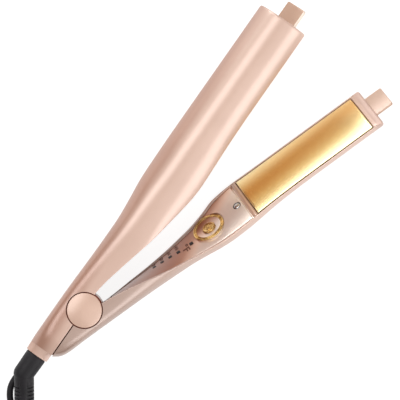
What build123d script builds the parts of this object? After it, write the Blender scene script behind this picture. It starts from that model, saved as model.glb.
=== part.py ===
"""Spiral curling iron: two twisted half-round arms that close into one barrel, hinged at the tail.

Millimetres, +Z up. The iron lies on its side: z = 0 is the table, the hinge axis is the Z axis,
and +X runs along the cord arm from the hinge to its tip. Both arms are modelled closed, along +X,
and the control arm is then turned open about the hinge.
"""

from build123d import *
import math
import os

# Barrel, hinge and opening
BARREL_R = 18.9
AXIS_Z = BARREL_R
OPEN_ANGLE = 18.8
HUB_R = 12.4
HUB_CUT = 0.7
COVER_R = 11.6
COVER_CUT = 0.4
COVER_T = 3.0
PIN_R = 3.0
RUNNING = 0.05
PART_GAP = 0.3
BUSH_WALL = 1.3
KNUCKLE_H = 15.0
LAYER_GAP = 0.4
CONTROL_TAIL_X = -36.3
TAIL_STOP_Y = 0.5
SHELL_BACK_X, SHELL_BACK_Y = -36.2, 7.5

# Shell, panel and cover walls
COVER_WALL = 1.8
PANEL_WALL = 2.0
SEAT_GAP = 0.2
CAVITY_X = 18.0
TIP_WALL = 4.0
PANEL_END = 123.2
PANEL_GROOVE = 1.4
BAND_LENGTH = 3.0
PLATE_LENGTH = 92.8
PLATE_GAP = 0.3
PLATE_T = 2.0
PLATE_PROUD = 0.6
PLATE_TRAVEL = 0.5
PLATE_SIDE_GAP = 0.6
FLOOR_SIDE_GAP = 0.9
HEATER_T, HEATER_WIDE, HEATER_MARGIN = 1.2, 14.0, 11.4
FUSE_R, FUSE_LONG = 0.6, 10.0
PAD_T = 2.0
FRAME_T = 1.4

# One row for each station along the arms: place; how far the cord edge, the control edge and the
# top stand in from the barrel's round; middle, squareness, twist, cord face, control face, wall
STATIONS = [
    (-41.2, 2.85, 12.0, 8.6, 0.75, 2.5, 0.0, -0.05, 3.3, 1.8),
    (-36.3, 2.6, 7.2, 5.4, 0.75, 2.8, 0.0, -0.05, 3.3, 1.8),
    (-31.0, 2.4, 3.4, 2.9, 0.75, 3.2, 0.0, -0.05, 3.3, 1.8),
    (-25.0, 2.35, 2.15, 1.3, 0.75, 3.8, 0.0, -0.05, 3.3, 1.8),
    (-12.0, 2.35, 2.3, 0.3, 0.75, 4.6, 0.0, -0.05, 3.3, 1.8),
    (6.0, 2.5, 2.2, 0.3, 0.8, 4.6, 0.0, -0.05, 3.5, 1.8),
    (20.0, 2.8, 2.1, 0.4, 0.8, 4.2, 1.5, 0.7, 4.0, 1.8),
    (34.0, 3.15, 1.95, 0.6, 0.85, 3.6, 6.5, 2.1, 4.9, 1.8),
    (48.0, 3.25, 1.65, 0.7, 0.85, 3.1, 12.5, 3.5, 6.1, 1.8),
    (62.0, 3.1, 1.1, 0.7, 0.9, 2.7, 20.0, 4.7, 7.3, 1.8),
    (76.0, 2.0, 0.3, 0.6, 1.0, 2.4, 27.5, 5.4, 8.0, 1.8),
    (88.0, 0.8, -1.2, 0.3, 1.1, 2.2, 33.5, 5.8, 8.3, 1.8),
    (98.0, 0.4, -2.5, 0.1, 1.2, 2.05, 39.5, 5.6, 8.0, 1.6),
    (108.0, 0.24, -2.84, 0.0, 1.24, 2.0, 44.3, 4.8, 6.6, 1.3),
    (122.0, 0.04, -2.34, 0.0, 1.24, 2.0, 45.0, 4.1, 5.6, 0.7),
    (140.0, 0.0, -0.84, 0.0, 1.24, 2.0, 45.0, 4.1, 5.6, 0.7),
    (158.0, 0.0, -0.14, 0.0, 1.24, 2.0, 45.0, 4.1, 5.6, 0.7),
    (172.0, 0.0, 0.0, 0.0, 1.24, 2.0, 45.0, 4.1, 5.6, 0.7),
]
BARREL_X = STATIONS[-1][0]
LOFT_STEP = 8.0
CORD_SIDE, CONTROL_SIDE = 1, -1
ARC_POINTS = 9

# Controls on the panel
DIAL_X, DIAL_SHIFT = 96.4, -0.6
DIAL_R = 11.1
DIAL_RING_WIDTH = 2.4
DIAL_BASE = 0.7
DIAL_RING_H = 0.7
BUTTON_R = 4.4
BUTTON_GAP = 0.25
BUTTON_TRAVEL = 0.7
DISH_T = 1.0
WINDOWS = [(81.1, 0.0), (70.9, -1.2), (64.8, -3.0), (58.6, -4.2), (52.5, -5.0)]
WINDOW_LONG, WINDOW_WIDE = 4.8, 2.6
LIGHT_PIPE_H = 4.2
PANEL_SCREW_X, PANEL_SCREW_SHIFT = 119.6, 1.0
SCREW_HEAD_R, SCREW_SHANK_R = 2.35, 1.2
SCREW_HEAD_H = 1.3
SCREW_LENGTH = 7.0

# Cool tips
TAB_WIDTH, TAB_SHIFT = 18.0, -0.6
TAB_REACH = 12.6
CORD_TAB_T, CONTROL_TAB_T = 3.8, 2.8
TAB_PROUD = 0.5

# Swivel, strain relief and hang loop
SWIVEL_Y = 8.9
COLLAR_R, COLLAR_BORE_R = 7.6, 5.0
COLLAR_START, COLLAR_END = -26.0, -42.3
COLLAR_LIP = 4.0
FLANGE_R, FLANGE_T = 6.2, 2.6
SLEEVE_R, BALL_R = 7.0, 6.8
BEND_X = -56.5
RELIEF_TURN, RELIEF_DROP = 35.0, 16.0
RELIEF_R, RELIEF_TIP_R = 6.5, 4.2
RELIEF_PLAIN, RELIEF_LENGTH = 8.0, 41.0
RIB_PITCH, RIB_GROOVE, RIB_DEPTH = 2.5, 1.0, 0.9
LOOP_D = 4.3
LUG_H = 8.6

# Cord: free length about 2 m
CORD_D = 6.0
COIL_GAP = 0.6
COIL_OUTER_R = 46.0
TURNS_PER_LAYER = 4
TIE_T, TIE_WIDTH, TIE_GAP = 0.8, 12.0, 0.3
LEAD_RUNS = (14.0, 22.0)
PLUG_SIZE = (30.0, 24.0, 14.0)
PLUG_NECK = 12.0
PLUG_RIGHT, PLUG_BACK = -7.0, -28.0
BLADE_SIZE = (17.0, 1.5, 6.3)
BLADE_SPACING = 12.7


def rows_at(x):
    """The station values at x, on smooth curves through the rows."""
    last = len(STATIONS) - 1
    x = min(max(x, STATIONS[0][0]), STATIONS[last][0])
    i = max(k for k in range(last) if STATIONS[k][0] <= x)
    low, high = STATIONS[i], STATIONS[i + 1]
    before, after = STATIONS[max(i - 1, 0)], STATIONS[min(i + 2, last)]
    step = high[0] - low[0]
    t = (x - low[0]) / step
    values = []
    for column in range(1, len(low)):
        slope_in = (high[column] - before[column]) / (high[0] - before[0]) * step
        slope_out = (after[column] - low[column]) / (after[0] - low[0]) * step
        values.append(
            low[column] * (2 * t**3 - 3 * t**2 + 1)
            + slope_in * (t**3 - 2 * t**2 + t)
            + high[column] * (3 * t**2 - 2 * t**3)
            + slope_out * (t**3 - t**2)
        )
    return values


class Section:
    """The arms' cross-section at x: a squarish ellipse, cut by the twisted face between the arms."""

    def __init__(self, x, inset=0.0):
        cord_in, control_in, top_in, middle, power, twist, cord_face, control_face, wall = rows_at(x)
        self.x, self.middle, self.power, self.wall = x, middle, power, wall
        self.up, self.down = BARREL_R - cord_in - inset, BARREL_R - control_in - inset
        self.height = BARREL_R - top_in - inset
        self.angle = math.radians(twist)
        self.faces = {CORD_SIDE: cord_face, CONTROL_SIDE: control_face}

    def level(self, side, depth):
        """Distance from the middle, towards the control arm, of a plane depth inside that arm's face."""
        return self.faces[side] - side * depth

    def point(self, level, along):
        """The (y, z) place at a level, and a distance along the face towards the viewer's side."""
        c, s = math.cos(self.angle), math.sin(self.angle)
        return (self.middle - level * c - along * s, AXIS_Z - level * s + along * c)

    def inside(self, place):
        y, z = place[0] - self.middle, place[1] - AXIS_Z
        reach = self.up if y > 0 else self.down
        return abs(y / reach) ** self.power + abs(z / self.height) ** self.power < 1

    def half_width(self, level, sign):
        """How far the face at this level runs from its middle to the wall, on one side."""
        low, high = 0.0, 2 * BARREL_R
        for _ in range(40):
            half = (low + high) / 2
            if self.inside(self.point(level, sign * half)):
                low = half
            else:
                high = half
        return low

    def rim(self, direction):
        """The outline's (y, z) place in a direction from the middle."""
        c, s = math.cos(direction), math.sin(direction)
        reach = self.up if c > 0 else self.down
        far = (abs(c / reach) ** self.power + abs(s / self.height) ** self.power) ** (-1 / self.power)
        return (self.middle + far * c, AXIS_Z + far * s)

    def half(self, side, depth):
        """The closed outline of one arm: its face, and the arc round its back."""
        level = self.level(side, depth)
        near = self.point(level, self.half_width(level, 1))
        far = self.point(level, -self.half_width(level, -1))
        start = math.atan2(near[1] - AXIS_Z, near[0] - self.middle)
        end = math.atan2(far[1] - AXIS_Z, far[0] - self.middle)
        turn = (end - start) % (2 * math.pi) if side == CONTROL_SIDE else -((start - end) % (2 * math.pi))
        between = [self.rim(start + turn * k / (ARC_POINTS + 1)) for k in range(1, ARC_POINTS + 1)]
        arc = [Vector(self.x, *p) for p in [near, *between, far]]
        return Face(Wire([Edge.make_spline(arc), Edge.make_line(arc[-1], arc[0])]))

    def strip(self, side, top, bottom, reach=None):
        """A four-cornered outline lying in the face, between two depths."""
        corners = []
        for depth, signs in ((top, (1, -1)), (bottom, (-1, 1))):
            level = self.level(side, depth)
            for sign in signs:
                wide = self.half_width(level, sign) if reach is None else reach
                corners.append(Vector(self.x, *self.point(level, sign * wide)))
        return Face(Wire.make_polygon(corners, close=True))


def places(start, end):
    """Where a loft from start to end has its sections, at even steps."""
    steps = max(1, round((end - start) / LOFT_STEP))
    return [start + (end - start) * k / steps for k in range(steps + 1)]


def arm_loft(side, start, end, depth=0.0, walled=False):
    """One arm as a solid, through sections at even steps."""
    found = []
    for x in places(start, end):
        inset = Section(x).wall if walled else 0.0
        found.append(Section(x, inset).half(side, depth))
    return loft(found)


def strip_loft(side, start, end, top, bottom, gap=SEAT_GAP):
    """A board that fills the arm from wall to wall, between two depths."""
    return loft([Section(x, Section(x).wall + gap).strip(side, top, bottom) for x in places(start, end)])


def barrel_strip(side, start, end, top, bottom, gap=PLATE_SIDE_GAP):
    """The same in the straight barrel, with one section all along."""
    section = Section(BARREL_X, Section(BARREL_X).wall + gap)
    section.x = start
    return extrude(section.strip(side, top, bottom), end - start, dir=(1, 0, 0))


def spot(side, x, along=0.0, depth=0.0):
    """A plane on an arm's face: its X runs along the arm, and its Z points out of the face."""
    section = Section(x)
    out = -side
    normal = (0, out * math.cos(section.angle), out * math.sin(section.angle))
    y, z = section.point(section.level(side, depth), along)
    return Plane(origin=(x, y, z), x_dir=(1, 0, 0), z_dir=normal)


def post(plane, radius, low, high):
    """A round post on a plane, between two heights above it."""
    return extrude(plane.offset(low) * Circle(radius), high - low)


def upright(radius, low, high):
    return extrude(Plane.XY.offset(low) * Circle(radius), high - low)


def along_x(radius, start, end, y=SWIVEL_Y):
    return extrude(Plane(origin=(start, y, AXIS_Z), x_dir=(0, 1, 0), z_dir=(1, 0, 0)) * Circle(radius), end - start)


def opened(part):
    return Rotation(0, 0, -OPEN_ANGLE) * part


# Heights of the hinge's layers, from the table up
KNUCKLE_LOW = AXIS_Z - KNUCKLE_H / 2
KNUCKLE_HIGH = AXIS_Z + KNUCKLE_H / 2
COVER_TOP = 2 * AXIS_Z
LOWER_EAR = (COVER_T + LAYER_GAP, KNUCKLE_LOW - LAYER_GAP)
UPPER_EAR = (KNUCKLE_HIGH + LAYER_GAP, COVER_TOP - COVER_T - LAYER_GAP)
SPRING_R, SPRING_WIRE, SPRING_TURNS, SPRING_PITCH = 7.4, 1.2, 3, 1.9
SPRING_ROOM_R = (SPRING_R - SPRING_WIRE, SPRING_R + SPRING_WIRE + 0.6)
SPRING_ROOM_H = 8.4

# Places along the barrel, and depths of the parts behind each plate
BAND_START = PANEL_END + PANEL_GROOVE
PLATE_START = BAND_START + BAND_LENGTH + PLATE_GAP
PLATE_DEPTH = PLATE_T - PLATE_PROUD
HEATER_DEPTH = PLATE_DEPTH + HEATER_T
BASE_DEPTH = HEATER_DEPTH + PAD_T
PLATE_END = PLATE_START + PLATE_LENGTH
FRAME_END = PLATE_END + PLATE_GAP + BAND_LENGTH
TAB_ROOT = FRAME_END
TIP_X = FRAME_END + TIP_WALL
TAB_END = TIP_X + TAB_REACH


def clear_hinge(arm, own_layers, other_layers):
    """Cuts the hinge's round bays out of an arm, and gives the arm its own knuckles there."""
    for low, high in ((-1, COVER_T + LAYER_GAP), (COVER_TOP - COVER_T - LAYER_GAP, COVER_TOP + 1)):
        arm -= upright(COVER_R + COVER_CUT, low, high)
    for low, high in other_layers:
        arm -= upright(HUB_R + HUB_CUT, low, high)
    for low, high in own_layers:
        arm += upright(HUB_R, low, high)
    return arm


def tip_slot(arm, side, thick):
    return arm - tab_blank(side, thick, TIP_X - TIP_WALL - 2, TIP_X + 2)


def tab_blank(side, thick, start, end):
    section = Section(BARREL_X)
    section.x = start
    half = TAB_WIDTH / 2
    corners = []
    for depth, sign in ((-TAB_PROUD, 1), (-TAB_PROUD, -1), (thick - TAB_PROUD, -1), (thick - TAB_PROUD, 1)):
        corners.append(Vector(start, *section.point(section.level(side, depth), TAB_SHIFT + sign * half)))
    return extrude(Face(Wire.make_polygon(corners, close=True)), end - start, dir=(1, 0, 0))


def end_tab(side, thick):
    """The flat cool tip: a rounded tongue through the arm's end wall."""
    tab = tab_blank(side, thick, TAB_ROOT, TAB_END)
    ends = [e for e in tab.edges() if e.center().X > TAB_END - 0.1 and abs(e.length - thick) < 0.1]
    return fillet(ends, 1.2)


def cord_arm_shell():
    shell = arm_loft(CORD_SIDE, STATIONS[0][0], TIP_X)
    shell -= arm_loft(CORD_SIDE, CAVITY_X, TIP_X - TIP_WALL, -3.0, walled=True)
    lower_bay = (COVER_T + LAYER_GAP / 2, KNUCKLE_LOW)
    upper_bay = (KNUCKLE_HIGH, COVER_TOP - COVER_T - LAYER_GAP / 2)
    shell = clear_hinge(shell, [(KNUCKLE_LOW, KNUCKLE_HIGH)], [lower_bay, upper_bay])
    shell -= upright(PIN_R, KNUCKLE_LOW - 1, KNUCKLE_HIGH + 1)
    room = upright(SPRING_ROOM_R[1], KNUCKLE_HIGH - SPRING_ROOM_H, KNUCKLE_HIGH + 1)
    shell -= room - upright(SPRING_ROOM_R[0], KNUCKLE_HIGH - SPRING_ROOM_H - 1, KNUCKLE_HIGH + 2)
    shell -= along_x(COLLAR_R, COLLAR_END - 1, COLLAR_START)
    shell -= along_x(WIRE_DUCT_R, COLLAR_START - 1, CAVITY_X + 1, WIRE_DUCT_Y)
    start = STATIONS[0][0]
    behind = make_face(Polyline(
        (start - 9, -30), (SHELL_BACK_X, -30), (SHELL_BACK_X, SHELL_BACK_Y),
        (start, SWIVEL_Y + COLLAR_R - 1), (start - 9, SWIVEL_Y + COLLAR_R - 1), close=True,
    ))
    shell -= extrude(behind, COVER_TOP)
    for x, along in COVER_SCREWS:
        boss = post(spot(CORD_SIDE, x, along, COVER_WALL + PART_GAP), BOSS_R, -BOSS_DEPTH, 0)
        shell += boss & arm_loft(CORD_SIDE, x - 12, x + 12)
        shell -= post(spot(CORD_SIDE, x, along), SCREW_SHANK_R, -SCREW_LENGTH, 0)
    return tip_slot(shell, CORD_SIDE, CORD_TAB_T)


WIRE_DUCT_R, WIRE_DUCT_Y = 2.2, 13.4
COVER_SCREWS = [(40.0, 0.0), (112.0, 0.0)]
BOSS_R, BOSS_DEPTH = 3.0, 24.0


def cord_arm_inner_cover():
    cover = strip_loft(CORD_SIDE, CAVITY_X + 1, PANEL_END, 0, COVER_WALL)
    for x, along in COVER_SCREWS:
        cover -= post(spot(CORD_SIDE, x, along), SCREW_HEAD_R + 0.1, -SCREW_HEAD_H, 2)
        cover -= post(spot(CORD_SIDE, x, along), SCREW_SHANK_R, -SCREW_LENGTH, 2)
    return cover


def screw(plane):
    head = post(plane, SCREW_HEAD_R, -SCREW_HEAD_H, 0)
    head = fillet(head.faces().sort_by(Axis((0, 0, 0), plane.z_dir))[-1].edges(), 0.4)
    cross = extrude(plane * (Rectangle(2.6, 0.6) + Rectangle(0.6, 2.6)), -0.7)
    return head + post(plane, SCREW_SHANK_R, -SCREW_LENGTH, -SCREW_HEAD_H) - cross


def plate_frame(side):
    """The moulded tray behind a plate: a floor, and a bridge across the arm at each end."""
    floor = barrel_strip(side, BAND_START, FRAME_END, BASE_DEPTH, BASE_DEPTH + FRAME_T, FLOOR_SIDE_GAP)
    near = strip_loft(side, BAND_START, PLATE_START - PLATE_GAP, 0, BASE_DEPTH + FRAME_T / 2, PLATE_SIDE_GAP)
    far = barrel_strip(side, PLATE_END + PLATE_GAP, FRAME_END, 0, BASE_DEPTH)
    return floor + near + far


def heating_plate(side):
    plate = barrel_strip(side, PLATE_START, PLATE_END, -PLATE_PROUD, PLATE_DEPTH)
    long_edges = plate.edges().filter_by(Axis.X).sort_by(Axis((0, 0, 0), spot(side, TIP_X).z_dir))[-2:]
    return fillet(long_edges, 0.5)


def plate_spot(side, x, depth):
    return spot(side, x, 0, depth)


def heater(side):
    middle = (PLATE_START + PLATE_END) / 2
    size = (PLATE_LENGTH - 2 * HEATER_MARGIN, HEATER_WIDE)
    return extrude(plate_spot(side, middle, HEATER_DEPTH) * RectangleRounded(*size, 1), HEATER_T)


def plate_pads(side):
    """Two silicone pads that let the plate float under pressure."""
    pads = []
    for x in (PLATE_START + 22, PLATE_END - 22):
        low = plate_spot(side, x, BASE_DEPTH)
        pads.append(extrude(low * RectangleRounded(10, 12, 2), PAD_T - 0.1))
    return Compound(pads)


def control_arm_shell():
    shell = arm_loft(CONTROL_SIDE, CONTROL_TAIL_X, TIP_X)
    shell -= arm_loft(CONTROL_SIDE, CAVITY_X, TIP_X - TIP_WALL, -3.0, walled=True)
    tail_cut = Pos(-40, TAIL_STOP_Y + 20) * extrude(Rectangle(80 - 2 * COVER_R, 40), COVER_TOP)
    shell -= Rotation(0, 0, OPEN_ANGLE) * tail_cut
    middle = (LOWER_EAR[1], UPPER_EAR[0])
    shell = clear_hinge(shell, [LOWER_EAR, UPPER_EAR], [middle])
    for low, high in (LOWER_EAR, UPPER_EAR):
        shell -= upright(PIN_R + RUNNING + BUSH_WALL, low - 1, high + 1)
    shell = shell.solids().sort_by(SortBy.VOLUME)[-1]
    boss_top = spot(CONTROL_SIDE, PANEL_SCREW_X, PANEL_SCREW_SHIFT, PANEL_WALL + PART_GAP)
    near_screw = arm_loft(CONTROL_SIDE, PANEL_SCREW_X - 10, PANEL_SCREW_X + 10)
    shell += post(boss_top, BOSS_R, -BOSS_DEPTH, 0) & near_screw
    shell -= post(spot(CONTROL_SIDE, PANEL_SCREW_X, PANEL_SCREW_SHIFT), SCREW_SHANK_R, -SCREW_LENGTH, 0)
    return tip_slot(shell, CONTROL_SIDE, CONTROL_TAB_T)


def control_panel():
    panel = strip_loft(CONTROL_SIDE, CAVITY_X + 1, PANEL_END, 0, PANEL_WALL)
    dial = spot(CONTROL_SIDE, DIAL_X, DIAL_SHIFT)
    panel += post(dial, DIAL_R + 0.3, -PANEL_WALL - 0.4, DIAL_BASE)
    panel -= post(dial, DIAL_R + 0.3, DIAL_BASE, DIAL_BASE + 3)
    panel -= post(dial, DIAL_R - DIAL_RING_WIDTH, DIAL_BASE - DISH_T, DIAL_BASE + 3)
    panel -= post(dial, BUTTON_R + BUTTON_GAP, -PANEL_WALL - 3, DIAL_BASE + 3)
    for x, along in WINDOWS:
        panel -= window(x, along, 0.0, -PANEL_WALL - 3, 2)
    screw_place = spot(CONTROL_SIDE, PANEL_SCREW_X, PANEL_SCREW_SHIFT)
    panel -= post(screw_place, SCREW_HEAD_R + 0.15, -SCREW_HEAD_H, 2)
    panel -= post(screw_place, SCREW_SHANK_R, -SCREW_LENGTH, 2)
    for plane in board_posts():
        panel += post(plane, POST_R, 0, BOARD_DROP - PANEL_WALL / 2)
    return panel


BOARD_DROP = 4.4
BOARD_T = 1.2
POST_R, POST_ASIDE = 1.4, 3.2
LED_BOARD = (66.0, 36.0, 10.0, 11.0)
MAIN_BOARD = (95.0, 22.0, 11.0, 9.0)


def board_plane(board):
    """The top of a circuit board, below the panel's face at the board's middle."""
    return spot(CONTROL_SIDE, board[0], 0, BOARD_DROP)


def board_posts():
    """Planes on the boards' tops, where the panel's posts meet them."""
    found = []
    for board in (LED_BOARD, MAIN_BOARD):
        plane = board_plane(board)
        for sign in (-1, 1):
            found.append(plane.shift_origin(plane.from_local_coords((sign * board[3], -POST_ASIDE, 0))))
    return found


def circuit_board(board):
    return extrude(board_plane(board) * RectangleRounded(board[1], board[2], 1), -BOARD_T)


def window(x, along, trim, low, high):
    plane = spot(CONTROL_SIDE, x, along)
    return extrude(plane.offset(low) * RectangleRounded(WINDOW_WIDE - trim, WINDOW_LONG - trim, 0.9), high - low)


def led_windows():
    return Compound([window(x, along, 0.0, -PANEL_WALL - 0.8, 0.15) for x, along in WINDOWS])


def button_ring():
    dial = spot(CONTROL_SIDE, DIAL_X, DIAL_SHIFT)
    ring = post(dial, DIAL_R, DIAL_BASE, DIAL_BASE + DIAL_RING_H)
    ring -= post(dial, DIAL_R - DIAL_RING_WIDTH, DIAL_BASE - 1, DIAL_BASE + 3)
    top = ring.faces().sort_by(Axis((0, 0, 0), dial.z_dir))[-1]
    return fillet(top.edges(), 0.35)


def button_dish():
    """The shallow dish round the button, lower at its middle."""
    dial = spot(CONTROL_SIDE, DIAL_X, DIAL_SHIFT)
    outer, inner = DIAL_R - DIAL_RING_WIDTH, BUTTON_R + BUTTON_GAP
    outline = Polyline(
        (inner, DIAL_BASE - DISH_T), (outer, DIAL_BASE - DISH_T), (outer, DIAL_BASE + 0.2),
        (inner, DIAL_BASE - 0.5), close=True,
    )
    upright_face = make_face(Plane.XZ * outline)
    return dial * revolve(upright_face, Axis.Z)


def power_button():
    dial = spot(CONTROL_SIDE, DIAL_X, DIAL_SHIFT)
    cap = post(dial, BUTTON_R, -PANEL_WALL, DIAL_BASE + 0.5)
    cap = fillet(cap.faces().sort_by(Axis((0, 0, 0), dial.z_dir))[-1].edges(), 0.4)
    return cap + post(dial, 1.5, SWITCH_TOP + BUTTON_TRAVEL + 0.1, -PANEL_WALL)


SWITCH_TOP = -BOARD_DROP + 0.8


def tact_switch():
    """The small switch on the main board, under the button."""
    dial = spot(CONTROL_SIDE, DIAL_X, DIAL_SHIFT)
    body = extrude(dial.offset(SWITCH_TOP - 1.0) * Rectangle(5, 5), 1.0)
    return body - extrude(board_plane(MAIN_BOARD) * Rectangle(30, 30), -10)


def hinge_pin():
    return upright(PIN_R, COVER_T / 2, COVER_TOP - COVER_T / 2)


def hinge_cover(low, outward):
    cover = upright(COVER_R, low, low + COVER_T)
    rim = cover.faces().sort_by(Axis.Z)[-1 if outward > 0 else 0].edges()
    return chamfer(rim, 0.5) - hinge_pin()


def hinge_bushings():
    bushes = []
    for low, high in (LOWER_EAR, UPPER_EAR):
        bush = upright(PIN_R + RUNNING + BUSH_WALL, low, high)
        bushes.append(bush - upright(PIN_R + RUNNING, low - 1, high + 1))
    return bushes


def hinge_washers():
    found = []
    for low in (LOWER_EAR[1], KNUCKLE_HIGH):
        ring = upright(SPRING_ROOM_R[0] - 0.4, low + 0.05, low + LAYER_GAP - 0.05)
        found.append(ring - upright(PIN_R + RUNNING, low - 1, low + 1))
    return Compound(found)


def biarc(start, start_way, end, end_way):
    """Two arcs that leave start along start_way and reach end along end_way."""
    p, t, q, u = Vector(*start), Vector(*start_way), Vector(*end), Vector(*end_way)
    gap = q - p
    bend = 2 * (t.dot(u) - 1)
    cross = -2 * gap.dot(t + u)
    reach = (-cross - math.sqrt(cross * cross - 4 * bend * gap.dot(gap))) / (2 * bend)
    middle = ((p + t * reach) + (q - u * reach)) * 0.5
    first = TangentArc(p, middle, tangent=t)
    return [first, TangentArc(middle, q, tangent=first % 1)]


def wound(edges, radius, start, way):
    section = Plane(origin=Vector(*start), z_dir=Vector(*way)) * Circle(radius)
    return sweep(section, path=Wire(edges))


def hinge_spring():
    """The torsion spring that opens the arms, in the room round the knuckle's hub."""
    edges = []
    low = KNUCKLE_HIGH - SPRING_ROOM_H + SPRING_WIRE
    steps = SPRING_TURNS * 4
    rise = SPRING_PITCH / 4
    slope = rise / (SPRING_R * math.pi / 2)

    def stand(k):
        a = k * math.pi / 2
        place = (SPRING_R * math.cos(a), SPRING_R * math.sin(a), low + k * rise)
        return place, Vector(-math.sin(a), math.cos(a), slope).normalized()

    for k in range(steps):
        (p, t), (q, u) = stand(k), stand(k + 1)
        edges += biarc(p, t, q, u)
    first, way = stand(0)
    return wound(edges, SPRING_WIRE / 2, first, way)


def swivel_collar():
    collar = along_x(COLLAR_R, COLLAR_END, COLLAR_START)
    collar = fillet(collar.faces().sort_by(Axis.X)[0].edges(), 1.0)
    collar -= along_x(COLLAR_BORE_R, COLLAR_END - 1, COLLAR_END + COLLAR_LIP + 1)
    return collar - along_x(FLANGE_R + PART_GAP, COLLAR_END + COLLAR_LIP, COLLAR_START - 3)


def swivel_sleeve():
    """The turning sleeve: a flange held in the collar, a neck through its lip, and a ball at its end."""
    lip = COLLAR_END + COLLAR_LIP
    sleeve = along_x(FLANGE_R, lip + PART_GAP, lip + PART_GAP + FLANGE_T)
    sleeve += along_x(COLLAR_BORE_R - RUNNING, COLLAR_END - PART_GAP, lip + PART_GAP)
    end = Plane(origin=(BEND_X, SWIVEL_Y, AXIS_Z), x_dir=(0, 1, 0), z_dir=(1, 0, 0))
    start = end.offset(COLLAR_END - PART_GAP - BEND_X)
    sleeve += loft([start * Circle(SLEEVE_R), end * Circle(BALL_R)])
    return sleeve + Pos(BEND_X, SWIVEL_Y, AXIS_Z) * Sphere(BALL_R)


TURN = math.radians(RELIEF_TURN)
DROP = math.radians(RELIEF_DROP)
LEVEL_WAY = Vector(-math.cos(TURN), -math.sin(TURN), 0)
ASIDE = Vector(math.sin(TURN), -math.cos(TURN), 0)
RELIEF_WAY = LEVEL_WAY * math.cos(DROP) + Vector(0, 0, -math.sin(DROP))
BEND = Vector(BEND_X, SWIVEL_Y, AXIS_Z)
RELIEF_TIP = BEND + RELIEF_WAY * RELIEF_LENGTH


def relief_radius(along):
    """Radius of the ribs at a distance from the bend."""
    taper_from = RELIEF_LENGTH * 0.45
    if along < taper_from:
        return RELIEF_R
    return RELIEF_R + (RELIEF_TIP_R - RELIEF_R) * (along - taper_from) / (RELIEF_LENGTH - taper_from)


def strain_relief():
    """The ribbed cone that guards the cord, from the ball to its tip."""
    outline = [(0, 0), (0, RELIEF_R), (RELIEF_PLAIN, RELIEF_R)]
    along = RELIEF_PLAIN
    while along + RIB_PITCH < RELIEF_LENGTH - 1:
        r = relief_radius(along)
        outline += [(along + 0.1, r - RIB_DEPTH), (along + RIB_GROOVE - 0.1, r - RIB_DEPTH)]
        along += RIB_GROOVE
        outline.append((along, relief_radius(along)))
        along += RIB_PITCH - RIB_GROOVE
        outline.append((along, relief_radius(along)))
    outline += [(RELIEF_LENGTH, RELIEF_TIP_R), (RELIEF_LENGTH, 0)]
    profile = make_face(Polyline([(r, h) for h, r in outline], close=True))
    turned = revolve(Plane.XZ * profile, Axis.Z)
    body = Plane(origin=BEND, z_dir=RELIEF_WAY) * turned
    return body - swivel_sleeve()


def beside_relief(along, aside, height):
    """A place by its distance along the relief's level direction and to its side, and its height."""
    return BEND + LEVEL_WAY * along - ASIDE * aside + Vector(0, 0, height - AXIS_Z)


def path_radii(points):
    """Arc radii for a route's corners: 0.45 of the shorter run over the tangent of half the turn."""
    radii = []
    for before, corner, after in zip(points, points[1:], points[2:]):
        into, out = corner - before, after - corner
        half_turn = math.radians(into.get_angle(out)) / 2
        radii.append(0.45 * min(into.length, out.length) / math.tan(half_turn))
    return radii


def tube(name, points, diameter):
    radii = path_radii(points)
    path = FilletPolyline(*points, radius=radii)
    solid = sweep(Plane(origin=points[0], z_dir=points[1] - points[0]) * Circle(diameter / 2), path=path)
    print(name, "radii", [round(r, 1) for r in radii], "length", round(path.length, 1))
    print(name, "volume share", round(solid.volume / (math.pi * diameter**2 / 4 * path.length), 4))
    return solid


HANG_LOOP_ROUTE = [
    (0.5, 1.0, 8.6), (2.5, 5.4, 8.8), (9.0, 9.3, 8.4), (16.5, 9.8, 7.2), (23.5, 8.0, 5.4),
    (27.0, 2.8, 3.4), (24.0, -2.2, 2.9), (17.0, -2.8, 3.8), (10.5, -1.9, 5.9), (4.5, -1.4, 7.6),
]


def hang_loop():
    """A moulded rubber loop beside the strain relief, joined by a small lug under its root."""
    points = [beside_relief(*p) for p in HANG_LOOP_ROUTE]
    loop = tube("hang_loop", points, LOOP_D)
    lug_place = beside_relief(2.5, 0.0, 0.0)
    lug = Pos(lug_place.X, lug_place.Y, LUG_H) * Sphere(LOOP_D * 0.8)
    lug += Pos(lug_place.X, lug_place.Y, 0) * upright(LOOP_D * 0.6, LUG_H, AXIS_Z)
    relief_core = Plane(origin=BEND, z_dir=RELIEF_WAY) * extrude(Circle(RELIEF_R + 0.02), RELIEF_LENGTH)
    return loop + lug - relief_core - swivel_sleeve()


COIL_PITCH = CORD_D + COIL_GAP
COIL_LOW = CORD_D / 2 + TIE_T + 0.1
COIL_HIGH = COIL_LOW + COIL_PITCH
LEAD_LEVEL = (RELIEF_TIP.Z - COIL_LOW) / math.tan(DROP)
LEAD_END = RELIEF_TIP + LEVEL_WAY * (LEAD_LEVEL + LEAD_RUNS[1]) + Vector(0, 0, COIL_LOW - RELIEF_TIP.Z)
COIL_START = LEAD_END + LEVEL_WAY * CORD_D
COIL_CENTRE = COIL_START + ASIDE * COIL_OUTER_R - Vector(0, 0, COIL_LOW)


def coil_place(right, back, height):
    """A place over the coil: along ASIDE, and back towards the iron, from the coil's centre."""
    return COIL_CENTRE + ASIDE * right - LEVEL_WAY * back + Vector(0, 0, height)


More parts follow.
